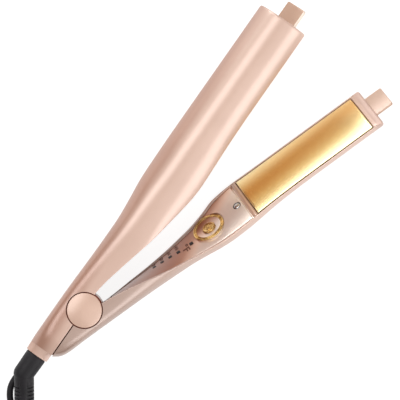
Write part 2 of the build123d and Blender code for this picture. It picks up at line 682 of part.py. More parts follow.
def coil_route():
    """The coil's stations: (right, back, height, way right, way back, way up)."""
    stations = [(-COIL_OUTER_R, 0, COIL_LOW, 0, -1)]
    radius, right, way = COIL_OUTER_R, -COIL_OUTER_R, 1
    radii = [COIL_OUTER_R - k * COIL_PITCH / 2 for k in range(2 * TURNS_PER_LAYER)]
    turns = [(r, COIL_LOW) for r in radii] + [(radii[-1] - COIL_PITCH / 2, COIL_HIGH)]
    turns += [(r, COIL_HIGH) for r in reversed(radii)]
    for radius, height in turns:
        right += way * 2 * radius
        stations.append((right, 0, height, 0, way))
        way = -way
    return stations, right


PLUG_LOW = COIL_HIGH + CORD_D / 2 + PART_GAP
PLUG_AXIS = PLUG_LOW + PLUG_SIZE[2] / 2


def coil_edges():
    stations, right = coil_route()
    reach = right + COIL_PITCH / 2
    stations += [
        (-COIL_PITCH / 2, reach, COIL_HIGH + COIL_PITCH, -1, 0),
        (-35.0, 0, PLUG_AXIS - 1.5, 0, -1),
        (PLUG_RIGHT, PLUG_BACK, PLUG_AXIS, 1, 0),
    ]
    start = coil_place(-COIL_OUTER_R, CORD_D, COIL_LOW)
    edges = [Edge.make_line(start, coil_place(-COIL_OUTER_R, 0, COIL_LOW))]
    for one, two in zip(stations, stations[1:]):
        ways = [ASIDE * s[3] - LEVEL_WAY * s[4] for s in (one, two)]
        edges += biarc(coil_place(*one[:3]), ways[0], coil_place(*two[:3]), ways[1])
    end = coil_place(*stations[-1][:3])
    edges.append(Edge.make_line(end, end + ASIDE * CORD_D * 1.5))
    return edges, start


COIL_EDGES, COIL_FIRST = coil_edges()
PLUG_START = coil_place(PLUG_RIGHT, PLUG_BACK, PLUG_AXIS) + ASIDE * CORD_D * 1.5


def least_gap(edges, step=2.0):
    """The coil's least gap to itself, between points more than a turn's quarter apart."""
    points = []
    for edge in edges:
        count = max(2, round(edge.length / step))
        points += [edge @ (k / count) for k in range(count)]
    skip = round(40 / step)
    least = 1e9
    for i, p in enumerate(points):
        for q in points[i + skip:]:
            least = min(least, (p - q).length)
    return least - CORD_D


def cord_lead():
    first = RELIEF_TIP
    corner = first + LEVEL_WAY * LEAD_LEVEL + Vector(0, 0, COIL_LOW - first.Z)
    return tube("cord_lead", [first, corner, COIL_FIRST], CORD_D)


def cord_coil():
    solid = wound(COIL_EDGES, CORD_D / 2, COIL_FIRST, LEVEL_WAY)
    length = sum(e.length for e in COIL_EDGES)
    print("cord_coil length", round(length), "least gap", round(least_gap(COIL_EDGES), 2))
    print("cord_coil volume share", round(solid.volume / (math.pi * CORD_D**2 / 4 * length), 4))
    return solid


def coil_tie():
    """A strap round the coil's bundle, between the plug and the lead."""
    inner = COIL_OUTER_R - (TURNS_PER_LAYER * 2) * COIL_PITCH / 2 - CORD_D / 2 - 1.6
    outer = COIL_OUTER_R + CORD_D / 2 + TIE_GAP + 0.4
    low, high = COIL_LOW - CORD_D / 2 - 0.1, COIL_HIGH + CORD_D / 2 + TIE_GAP
    size = (outer - inner, high - low)
    angle = math.radians(-135)
    way = ASIDE * math.cos(angle) - LEVEL_WAY * math.sin(angle)
    across = way.cross(Vector(0, 0, 1))
    middle = COIL_CENTRE + way * ((inner + outer) / 2) + Vector(0, 0, (low + high) / 2)
    plane = Plane(origin=middle - across * (TIE_WIDTH / 2), x_dir=way, z_dir=across)
    outside = RectangleRounded(size[0] + 2 * TIE_T, size[1] + 2 * TIE_T, 1.5)
    inside = RectangleRounded(size[0], size[1], 0.7)
    return extrude(plane * (outside - inside), TIE_WIDTH)


PLUG_PLANE = Plane(origin=PLUG_START, x_dir=LEVEL_WAY, z_dir=ASIDE)


def plug_body():
    """A flat two-pin plug: a neck that grips the cord, and a body that swells and ends square."""
    long, wide, thick = PLUG_SIZE
    neck = loft([
        PLUG_PLANE * Circle(CORD_D / 2 + 1.0),
        PLUG_PLANE.offset(PLUG_NECK) * Circle(CORD_D / 2 + 1.8),
    ])
    swell = PLUG_PLANE.offset(PLUG_NECK + long / 2)
    body = loft([
        PLUG_PLANE.offset(PLUG_NECK) * RectangleRounded(wide * 0.55, thick * 0.8, 4),
        swell * RectangleRounded(wide, thick, 4),
    ])
    return neck + body + extrude(swell * RectangleRounded(wide, thick, 4), long / 2)


def plug_blades():
    face = PLUG_PLANE.offset(PLUG_NECK + PLUG_SIZE[0])
    long, thick, wide = BLADE_SIZE
    blades = []
    for sign in (-1, 1):
        blade = extrude(face * Pos(sign * BLADE_SPACING / 2, 0) * Rectangle(thick, wide), long)
        blades.append(blade)
    return Compound(blades)


def thermal_fuse():
    """A small capsule behind the cord arm's heater, lying on the frame's floor."""
    plane = plate_spot(CORD_SIDE, PLATE_START + PLATE_LENGTH / 2, BASE_DEPTH)
    capsule = Plane(origin=plane.origin, x_dir=plane.z_dir, z_dir=(1, 0, 0)).offset(-FUSE_LONG / 2)
    return extrude(capsule * Pos(FUSE_R, 0) * Circle(FUSE_R), FUSE_LONG)


def save(name, part):
    export_step(part, f"parts/{name}.step")


def parts():
    cord = {
        "cord_arm_shell": cord_arm_shell(),
        "cord_arm_inner_cover": cord_arm_inner_cover(),
        "cord_cover_screws": Compound([screw(spot(CORD_SIDE, *s)) for s in COVER_SCREWS]),
        "cord_arm_plate_frame": plate_frame(CORD_SIDE),
        "cord_arm_plate": heating_plate(CORD_SIDE),
        "cord_arm_heater": heater(CORD_SIDE),
        "cord_arm_plate_pads": plate_pads(CORD_SIDE),
        "thermal_fuse": thermal_fuse(),
        "cord_arm_end_tab": end_tab(CORD_SIDE, CORD_TAB_T),
        "hinge_pin": hinge_pin(),
        "hinge_washers": hinge_washers(),
        "hinge_spring": hinge_spring(),
        "hinge_cover_lower": hinge_cover(0, -1),
        "hinge_cover_upper": hinge_cover(COVER_TOP - COVER_T, 1),
        "swivel_collar": swivel_collar(),
        "swivel_sleeve": swivel_sleeve(),
        "strain_relief": strain_relief(),
        "hang_loop": hang_loop(),
        "cord_lead": cord_lead(),
        "cord_coil": cord_coil(),
        "coil_tie": coil_tie(),
        "plug_body": plug_body(),
        "plug_blades": plug_blades(),
    }
    control = {
        "control_arm_shell": control_arm_shell(),
        "control_panel": control_panel(),
        "control_arm_plate_frame": plate_frame(CONTROL_SIDE),
        "control_arm_plate": heating_plate(CONTROL_SIDE),
        "control_arm_heater": heater(CONTROL_SIDE),
        "control_arm_plate_pads": plate_pads(CONTROL_SIDE),
        "control_arm_end_tab": end_tab(CONTROL_SIDE, CONTROL_TAB_T),
        "hinge_bushings": Compound(hinge_bushings()),
        "panel_screw": screw(spot(CONTROL_SIDE, PANEL_SCREW_X, PANEL_SCREW_SHIFT)),
        "button_ring": button_ring(),
        "button_dish": button_dish(),
        "power_button": power_button(),
        "led_windows": led_windows(),
        "led_board": circuit_board(LED_BOARD),
        "main_board": circuit_board(MAIN_BOARD),
        "tact_switch": tact_switch(),
    }
    return {**cord, **{name: opened(part) for name, part in control.items()}}


os.makedirs("parts", exist_ok=True)
for node, solid in parts().items():
    save(node, solid)
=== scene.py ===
from math import atan2, cos, pi, radians, sin, tan

import bmesh
import bpy
from mathutils import Matrix, Vector


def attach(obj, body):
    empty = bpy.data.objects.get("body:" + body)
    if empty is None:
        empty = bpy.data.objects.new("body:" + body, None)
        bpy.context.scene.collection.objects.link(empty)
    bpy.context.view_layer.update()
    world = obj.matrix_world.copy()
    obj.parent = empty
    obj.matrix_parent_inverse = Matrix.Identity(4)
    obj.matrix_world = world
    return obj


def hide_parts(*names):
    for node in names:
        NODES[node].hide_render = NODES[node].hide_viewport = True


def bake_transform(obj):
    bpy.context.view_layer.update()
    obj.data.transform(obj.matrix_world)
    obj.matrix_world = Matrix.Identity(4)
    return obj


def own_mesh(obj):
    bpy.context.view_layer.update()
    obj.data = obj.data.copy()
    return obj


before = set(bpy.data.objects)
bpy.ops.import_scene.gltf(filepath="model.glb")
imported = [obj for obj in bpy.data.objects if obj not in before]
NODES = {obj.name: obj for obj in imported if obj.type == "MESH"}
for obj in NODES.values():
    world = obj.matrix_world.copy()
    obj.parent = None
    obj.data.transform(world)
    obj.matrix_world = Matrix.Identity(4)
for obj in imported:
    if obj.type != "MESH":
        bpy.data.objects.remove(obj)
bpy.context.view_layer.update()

MM = 0.001
AHEAD, UP = Vector((1, 0, 0)), Vector((0, 0, 1))
DIAGONAL = 0.7071

# Sizes that repeat the part's, in mm
BARREL_R = AXIS_Z = 18.9
OPEN_ANGLE = radians(18.8)
TOP_Z = 2 * AXIS_Z
SWIVEL_Y = 8.9
BEND = Vector((-56.5, SWIVEL_Y, AXIS_Z))
RELIEF_TURN, RELIEF_DROP = radians(35.0), radians(16.0)
RELIEF_LENGTH = 41.0
LEVEL_WAY = Vector((-cos(RELIEF_TURN), -sin(RELIEF_TURN), 0))
ASIDE = Vector((sin(RELIEF_TURN), -cos(RELIEF_TURN), 0))
RELIEF_WAY = LEVEL_WAY * cos(RELIEF_DROP) - UP * sin(RELIEF_DROP)
RELIEF_TIP = BEND + RELIEF_WAY * RELIEF_LENGTH

COVER_R, COVER_T = 11.6, 3.0
COVER_CUT, LAYER_GAP = 0.4, 0.4
HUB_R, HUB_CUT = 12.4, 0.7
KNUCKLE = (11.4, 26.4)
LOWER_EAR, UPPER_EAR, EAR_ROOM = (3.4, 11.0), (26.8, 34.4), 0.2
TAIL_STOP_Y, CONTROL_TAIL_X = 0.5, -36.3
SHELL_BACK_X = -36.2
COLLAR_R, COLLAR_START, COLLAR_END = 7.6, -26.0, -42.3
SLEEVE_R, BALL_R = 7.0, 6.8
RELIEF_R, RELIEF_TIP_R, RELIEF_PLAIN = 6.5, 4.2, 8.0
RIB_PITCH, RIB_GROOVE, RIB_DEPTH = 2.5, 1.0, 0.9
TAB_END, TAB_WIDTH, TAB_SHIFT, TAB_SUNK, TAB_CORNER = 240.6, 18.0, -0.6, 0.9, 1.2
FRAME_END, FRAME_T, BASE_DEPTH, FLOOR_SIDE_GAP = 224.0, 1.4, 4.6, 0.9
BAND_FROM, BAND_TO = 123.95, 127.5
PAD_INSET, PAD_TOP, PAD_KEEP = 22.0, 2.7, 0.72
CAVITY_X, TIP_X, TIP_WALL = 18.0, 228.0, 4.0
PANEL_END = 123.2
PLATE_START, PLATE_END = 127.9, 220.7
PLATE_PROUD, PLATE_T = 0.6, 2.0
DIAL_X, DIAL_SHIFT, DIAL_BASE, DIAL_R = 96.4, -0.6, 0.7, 11.1
RING_INNER_R = 8.7
BUTTON_R = 4.4
WINDOWS = [(81.1, 0.0), (70.9, -1.2), (64.8, -3.0), (58.6, -4.2), (52.5, -5.0)]
SCREW_X, SCREW_SHIFT, SCREW_HEAD_R = 119.6, 1.0, 2.35
CORD_SIDE, CONTROL_SIDE = 1, -1
ARMS = {"cord": CORD_SIDE, "control": CONTROL_SIDE}

# A row for each station along the arms: place; how far the cord edge, the control edge and the top
# stand in from the barrel's round; middle, squareness, twist, cord face, control face, wall
STATIONS = [
    (-41.2, 2.85, 12.0, 8.6, 0.75, 2.5, 0.0, -0.05, 3.3, 1.8),
    (-36.3, 2.6, 7.2, 5.4, 0.75, 2.8, 0.0, -0.05, 3.3, 1.8),
    (-31.0, 2.4, 3.4, 2.9, 0.75, 3.2, 0.0, -0.05, 3.3, 1.8),
    (-25.0, 2.35, 2.15, 1.3, 0.75, 3.8, 0.0, -0.05, 3.3, 1.8),
    (-12.0, 2.35, 2.3, 0.3, 0.75, 4.6, 0.0, -0.05, 3.3, 1.8),
    (6.0, 2.5, 2.2, 0.3, 0.8, 4.6, 0.0, -0.05, 3.5, 1.8),
    (20.0, 2.8, 2.1, 0.4, 0.8, 4.2, 1.5, 0.7, 4.0, 1.8),
    (34.0, 3.15, 1.95, 0.6, 0.85, 3.6, 6.5, 2.1, 4.9, 1.8),
    (48.0, 3.25, 1.65, 0.7, 0.85, 3.1, 12.5, 3.5, 6.1, 1.8),
    (62.0, 3.1, 1.1, 0.7, 0.9, 2.7, 20.0, 4.7, 7.3, 1.8),
    (76.0, 2.0, 0.3, 0.6, 1.0, 2.4, 27.5, 5.4, 8.0, 1.8),
    (88.0, 0.8, -1.2, 0.3, 1.1, 2.2, 33.5, 5.8, 8.3, 1.8),
    (98.0, 0.4, -2.5, 0.1, 1.2, 2.05, 39.5, 5.6, 8.0, 1.6),
    (108.0, 0.24, -2.84, 0.0, 1.24, 2.0, 44.3, 4.8, 6.6, 1.3),
    (122.0, 0.04, -2.34, 0.0, 1.24, 2.0, 45.0, 4.1, 5.6, 0.7),
    (140.0, 0.0, -0.84, 0.0, 1.24, 2.0, 45.0, 4.1, 5.6, 0.7),
    (158.0, 0.0, -0.14, 0.0, 1.24, 2.0, 45.0, 4.1, 5.6, 0.7),
    (172.0, 0.0, 0.0, 0.0, 1.24, 2.0, 45.0, 4.1, 5.6, 0.7),
]

CORD_D = 6.0
COIL_GAP = 0.6
COIL_OUTER_R = 46.0
TURNS_PER_LAYER = 4
TIE_T = 0.8
LEAD_RUN = 22.0
PLUG_THICK = 14.0
PART_GAP = 0.3


# Number helpers
def clamp(value):
    return min(1.0, max(0.0, value))


def farthest(holds, count):
    """The farthest distance at which a test still holds, found by halving."""
    low, high = 0.0, 2 * BARREL_R
    for _ in range(count):
        half = (low + high) / 2
        if holds(half):
            low = half
        else:
            high = half
    return low


def circle(count):
    """The cosine and sine of equal steps round a full turn."""
    turns = [2 * pi * k / count for k in range(count)]
    return [(cos(a), sin(a)) for a in turns]


def round_over(radius, count):
    """How far each step of a rounded end stands in: along the piece, and across it."""
    turns = [pi / 2 * k / count for k in range(count + 1)]
    return [(radius * (1 - sin(a)), radius * (1 - cos(a))) for a in turns]


def box(long, wide):
    """The four corners of a box about its middle."""
    return [(long, wide), (-long, wide), (-long, -wide), (long, -wide)]


def frame_at(place, way, out):
    """A frame at a place from its first and third ways."""
    turn = Matrix((way, out.cross(way), out)).transposed().to_4x4()
    return Matrix.Translation(place) @ turn


# Mesh helpers
def add_object(name, data):
    obj = bpy.data.objects.new(name, data)
    bpy.context.scene.collection.objects.link(obj)
    return obj


def rework(mesh, *steps):
    """Runs steps on a mesh, and turns its normals outwards."""
    work = bmesh.new()
    work.from_mesh(mesh)
    for step in steps:
        step(work)
    bmesh.ops.recalc_face_normals(work, faces=work.faces)
    work.to_mesh(mesh)
    work.free()


def skin(name, rings, closed=False):
    """A smooth piece over rings of places in millimetres: capped, or closed on itself."""
    count = len(rings[0])
    faces = []
    for i in range(len(rings) if closed else len(rings) - 1):
        n = (i + 1) % len(rings)
        for j in range(count):
            k = (j + 1) % count
            faces.append((i * count + j, i * count + k, n * count + k, n * count + j))
    if not closed:
        faces.append(tuple(range(count))[::-1])
        faces.append(tuple((len(rings) - 1) * count + j for j in range(count)))
    mesh = bpy.data.meshes.new(name)
    mesh.from_pydata([tuple(p * MM for p in point) for ring in rings for point in ring], [], faces)
    rework(mesh)
    for polygon in mesh.polygons:
        polygon.use_smooth = True
    return add_object(name, mesh)


def tube(name, line, radius, sides):
    """A round tube along a line of points, with frames carried along without twist."""
    line = [Vector(p) for p in line]
    ways = [(b - a).normalized() for a, b in zip(line, line[1:])]
    ways = [ways[0]] + [(a + b).normalized() for a, b in zip(ways, ways[1:])] + [ways[-1]]
    across = ways[0].orthogonal().normalized()
    rings = []
    for place, way in zip(line, ways):
        across = (across - way * across.dot(way)).normalized()
        other = way.cross(across)
        rings.append([place + (across * c + other * s) * radius for c, s in circle(sides)])
    return skin(name, rings)


def curve_mesh(curve):
    """The mesh of a curve."""
    holder = add_object(curve.name, curve)
    bpy.context.view_layer.update()
    mesh = bpy.data.meshes.new_from_object(holder)
    bpy.data.objects.remove(holder)
    return mesh


def smooth_line(name, points):
    """Points along the smooth curve that has these control points, and its length, in mm."""
    curve = bpy.data.curves.new(name, "CURVE")
    curve.dimensions = "3D"
    curve.resolution_u = 6
    spline = curve.splines.new("NURBS")
    spline.points.add(len(points) - 1)
    for target, point in zip(spline.points, points):
        target.co = (*[v * MM for v in point], 1.0)
    spline.order_u = 3
    spline.use_endpoint_u = True
    mesh = curve_mesh(curve)
    line = [v.co / MM for v in mesh.vertices]
    bpy.data.meshes.remove(mesh)
    length = sum((b - a).length for a, b in zip(line, line[1:]))
    return line, length


def shade_by_angle(obj, degrees):
    """Smooth shading, with edges sharper than the angle left crisp."""
    mesh = obj.data
    for polygon in mesh.polygons:
        polygon.use_smooth = True
    mesh.set_sharp_from_angle(angle=radians(degrees))


# Materials
def shader(name, color, metallic=0.0, roughness=0.4, **sockets):
    """A principled material; sockets are further inputs by their names, with _ for spaces."""
    mat = bpy.data.materials.new(name + "_finish")
    mat.use_nodes = True
    sockets.update(Base_Color=(*color, 1.0), Metallic=metallic, Roughness=roughness)
    for socket, value in sockets.items():
        shader_of(mat).inputs[socket.replace("_", " ")].default_value = value
    return mat


def shader_of(mat):
    return mat.node_tree.nodes["Principled BSDF"]


def add_node(mat, kind, inputs, **settings):
    """A shader node's outputs; inputs are values, or other nodes' outputs, by socket."""
    node = mat.node_tree.nodes.new("ShaderNode" + kind)
    for key, value in settings.items():
        setattr(node, key, value)
    for socket, value in inputs.items():
        if isinstance(value, bpy.types.NodeSocket):
            mat.node_tree.links.new(value, node.inputs[socket])
        else:
            node.inputs[socket].default_value = value
    return node.outputs


def drive(mat, socket, output):
    """Lets an input of the material's shader follow a node's output."""
    mat.node_tree.links.new(output, shader_of(mat).inputs[socket])


def noise(mat, scale, detail=3.0, stretch=(1, 1, 1)):
    """A noise field in the object's own coordinates, in waves per metre."""
    place = add_node(mat, "TexCoord", {})["Object"]
    place = add_node(mat, "Mapping", {"Vector": place, "Scale": stretch})["Vector"]
    return add_node(mat, "TexNoise", {"Vector": place, "Scale": scale, "Detail": detail})["Fac"]


def slope(mat, way, start, end):
    """A field that runs from 0 to 1 along a way through the object, between two places in mm."""
    place = add_node(mat, "TexCoord", {})["Object"]
    along = add_node(mat, "VectorMath", {0: place, 1: way}, operation="DOT_PRODUCT")["Value"]
    span = {"Value": along, "From Min": start * MM, "From Max": end * MM}
    return add_node(mat, "MapRange", span)["Result"]


def tone_ramp(mat, field, steps, easing):
    """A colour that follows a field through several tones, each with its place."""
    ramp = mat.node_tree.nodes.new("ShaderNodeValToRGB")
    tones = ramp.color_ramp
    tones.interpolation = easing
    while len(tones.elements) < len(steps):
        tones.elements.new(0.5)
    for element, (position, color) in zip(tones.elements, steps):
        element.position = position
        element.color = (*color, 1.0)
    mat.node_tree.links.new(field, ramp.inputs["Fac"])
    return ramp.outputs["Color"]


def vary_color(mat, field, low, high):
    """The base colour runs from low to high with a field."""
    drive(mat, "Base Color", tone_ramp(mat, field, [(0.35, low), (0.65, high)], "LINEAR"))


def vary_roughness(mat, field, low, high):
    span = {"Value": field, "To Min": low, "To Max": high}
    drive(mat, "Roughness", add_node(mat, "MapRange", span)["Result"])


def add_bump(mat, field, distance, strength):
    """Relief from a field; distance is in metres."""
    relief = {"Height": field, "Distance": distance, "Strength": strength}
    drive(mat, "Normal", add_node(mat, "Bump", relief)["Normal"])


def paint_shade(mat, field, shade_color):
    """Paints shade: multiplies the base colour by a darker colour that comes in with a field."""
    tone = shader_of(mat).inputs["Base Color"].links[0].from_socket
    shade = tone_ramp(mat, field, [(0, (1, 1, 1)), (1, shade_color)], "EASE")
    product = add_node(mat, "VectorMath", {0: tone, 1: shade}, operation="MULTIPLY")["Vector"]
    drive(mat, "Base Color", product)


# Noise fields: waves per metre, detail and stretch
CLOUD, SATIN = (26.0, 6.0), (160.0, 4.0)
BRUSHED = (400.0, 3.0, (1, 8, 8))


def rose_lacquer(name, light, dark, roughness, painted_shades=()):
    """Satin champagne lacquer with metal in it; each painted shade is a way, its start and end, and
    the darker colour that it brings in.
    """
    mat = shader(name, light, metallic=0.15, roughness=roughness, IOR=2.5)
    vary_color(mat, noise(mat, *CLOUD), dark, light)
    for way, start, end, shade_color in painted_shades:
        paint_shade(mat, slope(mat, way, start, end), shade_color)
    vary_roughness(mat, noise(mat, *SATIN), roughness - 0.03, roughness + 0.03)
    return mat


def coat_with_painted_reflection(name, tones, slope_ends, metallic, roughness, sheen, less, **sockets):
    """A coat whose colour follows a slope through the piece in steps of painted reflection and
    shade, with an uneven sheen.
    """
    mat = shader(name, tones[1][1], metallic=metallic, roughness=roughness, **sockets)
    drive(mat, "Base Color", tone_ramp(mat, slope(mat, *slope_ends), tones, "B_SPLINE"))
    vary_roughness(mat, noise(mat, *sheen), roughness - less, roughness + 0.03)
    return mat


def gold_metal(name, light, dark, roughness):
    mat = shader(name, light, metallic=0.8, roughness=roughness)
    # Patches of light and dark colour; on the dial's gold trim they are painted glints
    vary_color(mat, noise(mat, 240.0, 2.0), dark, light)
    vary_roughness(mat, noise(mat, *BRUSHED), roughness - 0.02, roughness + 0.03)
    add_bump(mat, noise(mat, 1500.0, 2.0), 0.000002, 0.3)
    return mat


def plain_metal(name, light, dark, roughness):
    mat = shader(name, light, metallic=1.0, roughness=roughness)
    vary_color(mat, noise(mat, 300.0, 3.0), dark, light)
    add_bump(mat, noise(mat, 2200.0, 2.0), 0.000006, 0.4)
    return mat


def moulded(name, light, dark, roughness, grain=1800.0, depth=0.00002, **sockets):
    """Moulded rubber or plastic, with its fine grain and uneven sheen."""
    mat = shader(name, light, roughness=roughness, **sockets)
    vary_color(mat, noise(mat, 120.0, 3.0), dark, light)
    vary_roughness(mat, noise(mat, 500.0, 3.0), roughness - 0.06, roughness + 0.08)
    add_bump(mat, noise(mat, grain, 3.0), depth, 0.6)
    return mat


# The open control arm's own ways: along it, and across it to its near side
ARM_WAY = (cos(OPEN_ANGLE), -sin(OPEN_ANGLE), 0)
NEAR_WAY = (-sin(OPEN_ANGLE), -cos(OPEN_ANGLE), 0)
# Painted reflection and shade: tones across the panel, from its far edge and the hinge to its near
# edge
PANEL_SLOPE = ((0.0885, -1.0865, 0), 35.0, 60.0)
PANEL_PAINTED_REFLECTION_TONES = [
    (0.0, (0.36, 0.125, 0.06)), (0.24, (0.46, 0.175, 0.09)), (0.38, (0.96, 0.63, 0.47)),
    (0.54, (1.0, 0.83, 0.72)), (1.0, (1.0, 0.92, 0.84)),
]
# Painted reflection across the plates: pale at their edges, deep gold a little off the middle
PLATE_PAINTED_REFLECTION_TONES = [
    (0.02, (1.0, 0.88, 0.55)), (0.18, (0.97, 0.72, 0.36)), (0.42, (0.70, 0.36, 0.11)),
    (0.60, (0.77, 0.48, 0.19)), (0.85, (0.82, 0.65, 0.32)), (0.98, (0.85, 0.74, 0.43)),
]
ROSE, DEEP_ROSE = (0.77, 0.51, 0.395), (0.72, 0.47, 0.36)
# Painted shade on the control arm's housing: darker towards the hinge, and at its tip end
CONTROL_HOUSING_PAINTED_SHADE = rose_lacquer("rose_housing", ROSE, DEEP_ROSE, 0.33, [
    (ARM_WAY, 150.0, 15.0, (0.60, 0.58, 0.575)), (ARM_WAY, 220.0, 225.0, (0.78, 0.70, 0.66)),
])
# Painted shade on the cord arm's housing: a little darker towards the hinge, and much darker
# towards its +Y side, more so near the hinge
CORD_HOUSING_PAINTED_SHADE = rose_lacquer("cord_rose_housing_painted_shade", ROSE, DEEP_ROSE, 0.33, [
    ((1, 0, 0), 150.0, 10.0, (0.93, 0.91, 0.91)), ((-0.24, 6.0, 0), 20.0, 72.0, (0.62, 0.43, 0.33)),
])
COVER = rose_lacquer("rose_cover", (0.74, 0.47, 0.35), (0.70, 0.44, 0.32), 0.36)
# Painted shade: the collar darkens towards +Y
COLLAR_PAINTED_SHADE = rose_lacquer("rose_collar_painted_shade", (0.84, 0.56, 0.44), (0.80, 0.53, 0.42), 0.34, [
    ((0, 1, 0), 7.0, 17.0, (0.72, 0.58, 0.50)),
])
TAB = rose_lacquer("rose_tab", (0.54, 0.31, 0.19), (0.51, 0.29, 0.18), 0.34)
# The cord tab is deep rose, with a painted highlight: its pale base colour is left only in a thin
# strip along one long edge
CORD_TAB_PAINTED_HIGHLIGHT = rose_lacquer("deep_rose_tab_painted_highlight", (0.98, 0.84, 0.70), (0.94, 0.80, 0.66), 0.34, [
    ((0, -DIAGONAL, DIAGONAL), 20.3, 20.1, (0.50, 0.30, 0.19)),
])
# A dark brown put in the gaps round the hinge covers and in the tail seam, as painted shade
GAP_SHADE = moulded("brown_gap_shade", (0.26, 0.065, 0.036), (0.21, 0.053, 0.03), 0.6, Specular_IOR_Level=0.1)
PANEL_PAINTED_REFLECTION = coat_with_painted_reflection("rose_panel", PANEL_PAINTED_REFLECTION_TONES, PANEL_SLOPE, 0.5, 0.30, SATIN, 0.03, IOR=1.7)
TRIM = rose_lacquer("rose_trim", (0.64, 0.39, 0.275), (0.60, 0.365, 0.26), 0.30)
PLATE_WAY = (NEAR_WAY[0] + 0.07 * ARM_WAY[0], NEAR_WAY[1] + 0.07 * ARM_WAY[1], 0)
PLATE_SLOPE, CORD_PLATE_SLOPE = (PLATE_WAY, -1.2, 24.0), ((0, 1, 0), -13.5, 11.7)
PLATE_COAT = (0.75, 0.26, BRUSHED, 0.02)
PLATE_GOLD_PAINTED_REFLECTION = coat_with_painted_reflection("gold_plate", PLATE_PAINTED_REFLECTION_TONES, PLATE_SLOPE, *PLATE_COAT)
CORD_PLATE_GOLD_PAINTED_REFLECTION = coat_with_painted_reflection("cord_gold_plate", PLATE_PAINTED_REFLECTION_TONES, CORD_PLATE_SLOPE, *PLATE_COAT)
INK = moulded("ink", (0.20, 0.075, 0.04), (0.15, 0.055, 0.03), 0.5, Specular_IOR_Level=0.2)
# Painted glints: the gold trim's wide light-to-dark patches
GOLD_TRIM_PAINTED_GLINTS = gold_metal("gold_trim", (0.96, 0.66, 0.27), (0.42, 0.22, 0.06), 0.18)
# Painted shade: a dark gold for the plates' sides, in the gaps beside them
PLATE_SIDE_PAINTED_SHADE = gold_metal("gold_plate_side_painted_shade", (0.26, 0.15, 0.06), (0.18, 0.10, 0.04), 0.4)
STEEL = plain_metal("steel", (0.80, 0.80, 0.80), (0.66, 0.66, 0.67), 0.25)
BLADE = plain_metal("blade", (0.82, 0.74, 0.52), (0.72, 0.62, 0.40), 0.25)
RUBBER = moulded(
    "black_rubber", (0.016, 0.014, 0.017), (0.010, 0.009, 0.011), 0.5,
    depth=0.000006, Specular_IOR_Level=0.3,
)
CORD = moulded("black_cord", (0.024, 0.024, 0.028), (0.015, 0.015, 0.018), 0.38, grain=900.0)
TIE = moulded("tie", (0.035, 0.035, 0.038), (0.02, 0.02, 0.022), 0.55)
DARK = moulded(
    "dark_plastic", (0.030, 0.017, 0.013), (0.018, 0.010, 0.008), 0.5,
    Specular_IOR_Level=0.25,
)
NYLON = moulded("nylon", (0.72, 0.70, 0.66), (0.62, 0.60, 0.56), 0.45)
CERAMIC = moulded("ceramic", (0.84, 0.83, 0.79), (0.74, 0.73, 0.69), 0.5)
SILICONE = moulded("silicone", (0.55, 0.10, 0.07), (0.42, 0.07, 0.05), 0.5)
BOARD = moulded("board", (0.05, 0.20, 0.09), (0.03, 0.14, 0.06), 0.35)

# The finishes of the CAD pieces that keep their own shape
NODE_FINISHES = [
    (STEEL, ["cord_cover_screws", "hinge_pin", "hinge_spring"]),
    (BLADE, ["plug_blades"]),
    (RUBBER, ["hang_loop", "plug_body", "tact_switch"]),
    (TIE, ["coil_tie"]),
    (NYLON, ["hinge_washers", "hinge_bushings"]),
    (CERAMIC, ["cord_arm_heater", "control_arm_heater", "thermal_fuse"]),
    (BOARD, ["led_board", "main_board"]),
]


def finish(obj, mat):
    """Sets a piece's only finish."""
    if obj.material_slots:
        for material_slot in obj.material_slots:
            material_slot.material = mat
    else:
        obj.data.materials.append(mat)


for node_finish, node_names in NODE_FINISHES:
    for node_name in node_names:
        finish(NODES[node_name], node_finish)


# Camera, floor and light; places in metres
VIEW_CENTRE = Vector((0.1013, -0.0202, 0.0189))
VIEW_DISTANCE = 3.0
IMAGE_UP = Vector((0.819, 0.574, 0.0)).normalized()
LENS = 415.4
FLOOR_HALF, FLOOR_GLOW = 1.6, 0.87
WORLD_COLOR, WORLD_STRENGTH = (1.0, 0.97, 0.95, 1), 0.42


def add_camera():
    data = bpy.data.cameras.new("photo_camera")
    data.sensor_width = 36.0
    data.lens = LENS
    data.clip_start = 0.01
    camera = add_object("photo_camera", data)
    camera.matrix_world = frame_at(VIEW_CENTRE + UP * VIEW_DISTANCE, IMAGE_UP.cross(UP), UP)
    bpy.context.scene.camera = camera


def add_floor():
    """A white table: bright to the eye and in the metal's reflections, with the shadow kept."""
    mesh = bpy.data.meshes.new("floor")
    corners = [(x * FLOOR_HALF, y * FLOOR_HALF, 0) for x, y in ((-1, -1), (1, -1), (1, 1), (-1, 1))]
    mesh.from_pydata(corners, [], [(0, 1, 2, 3)])
    floor = add_object("floor", mesh)
    mat = shader("floor", (0.30, 0.30, 0.30), roughness=0.75, Emission_Color=(1, 1, 1, 1))
    path = add_node(mat, "LightPath", {})
    rays = {0: path["Is Camera Ray"], 1: path["Is Glossy Ray"]}
    seen = add_node(mat, "Math", rays, operation="MAXIMUM")[0]
    lift = add_node(mat, "Math", {0: seen, 1: FLOOR_GLOW}, operation="MULTIPLY")[0]
    drive(mat, "Emission Strength", lift)
    mesh.materials.append(mat)


def add_world():
    world = bpy.data.worlds.new("studio")
    world.use_nodes = True
    background = world.node_tree.nodes["Background"]
    background.inputs["Color"].default_value = WORLD_COLOR
    background.inputs["Strength"].default_value = WORLD_STRENGTH
    bpy.context.scene.world = world


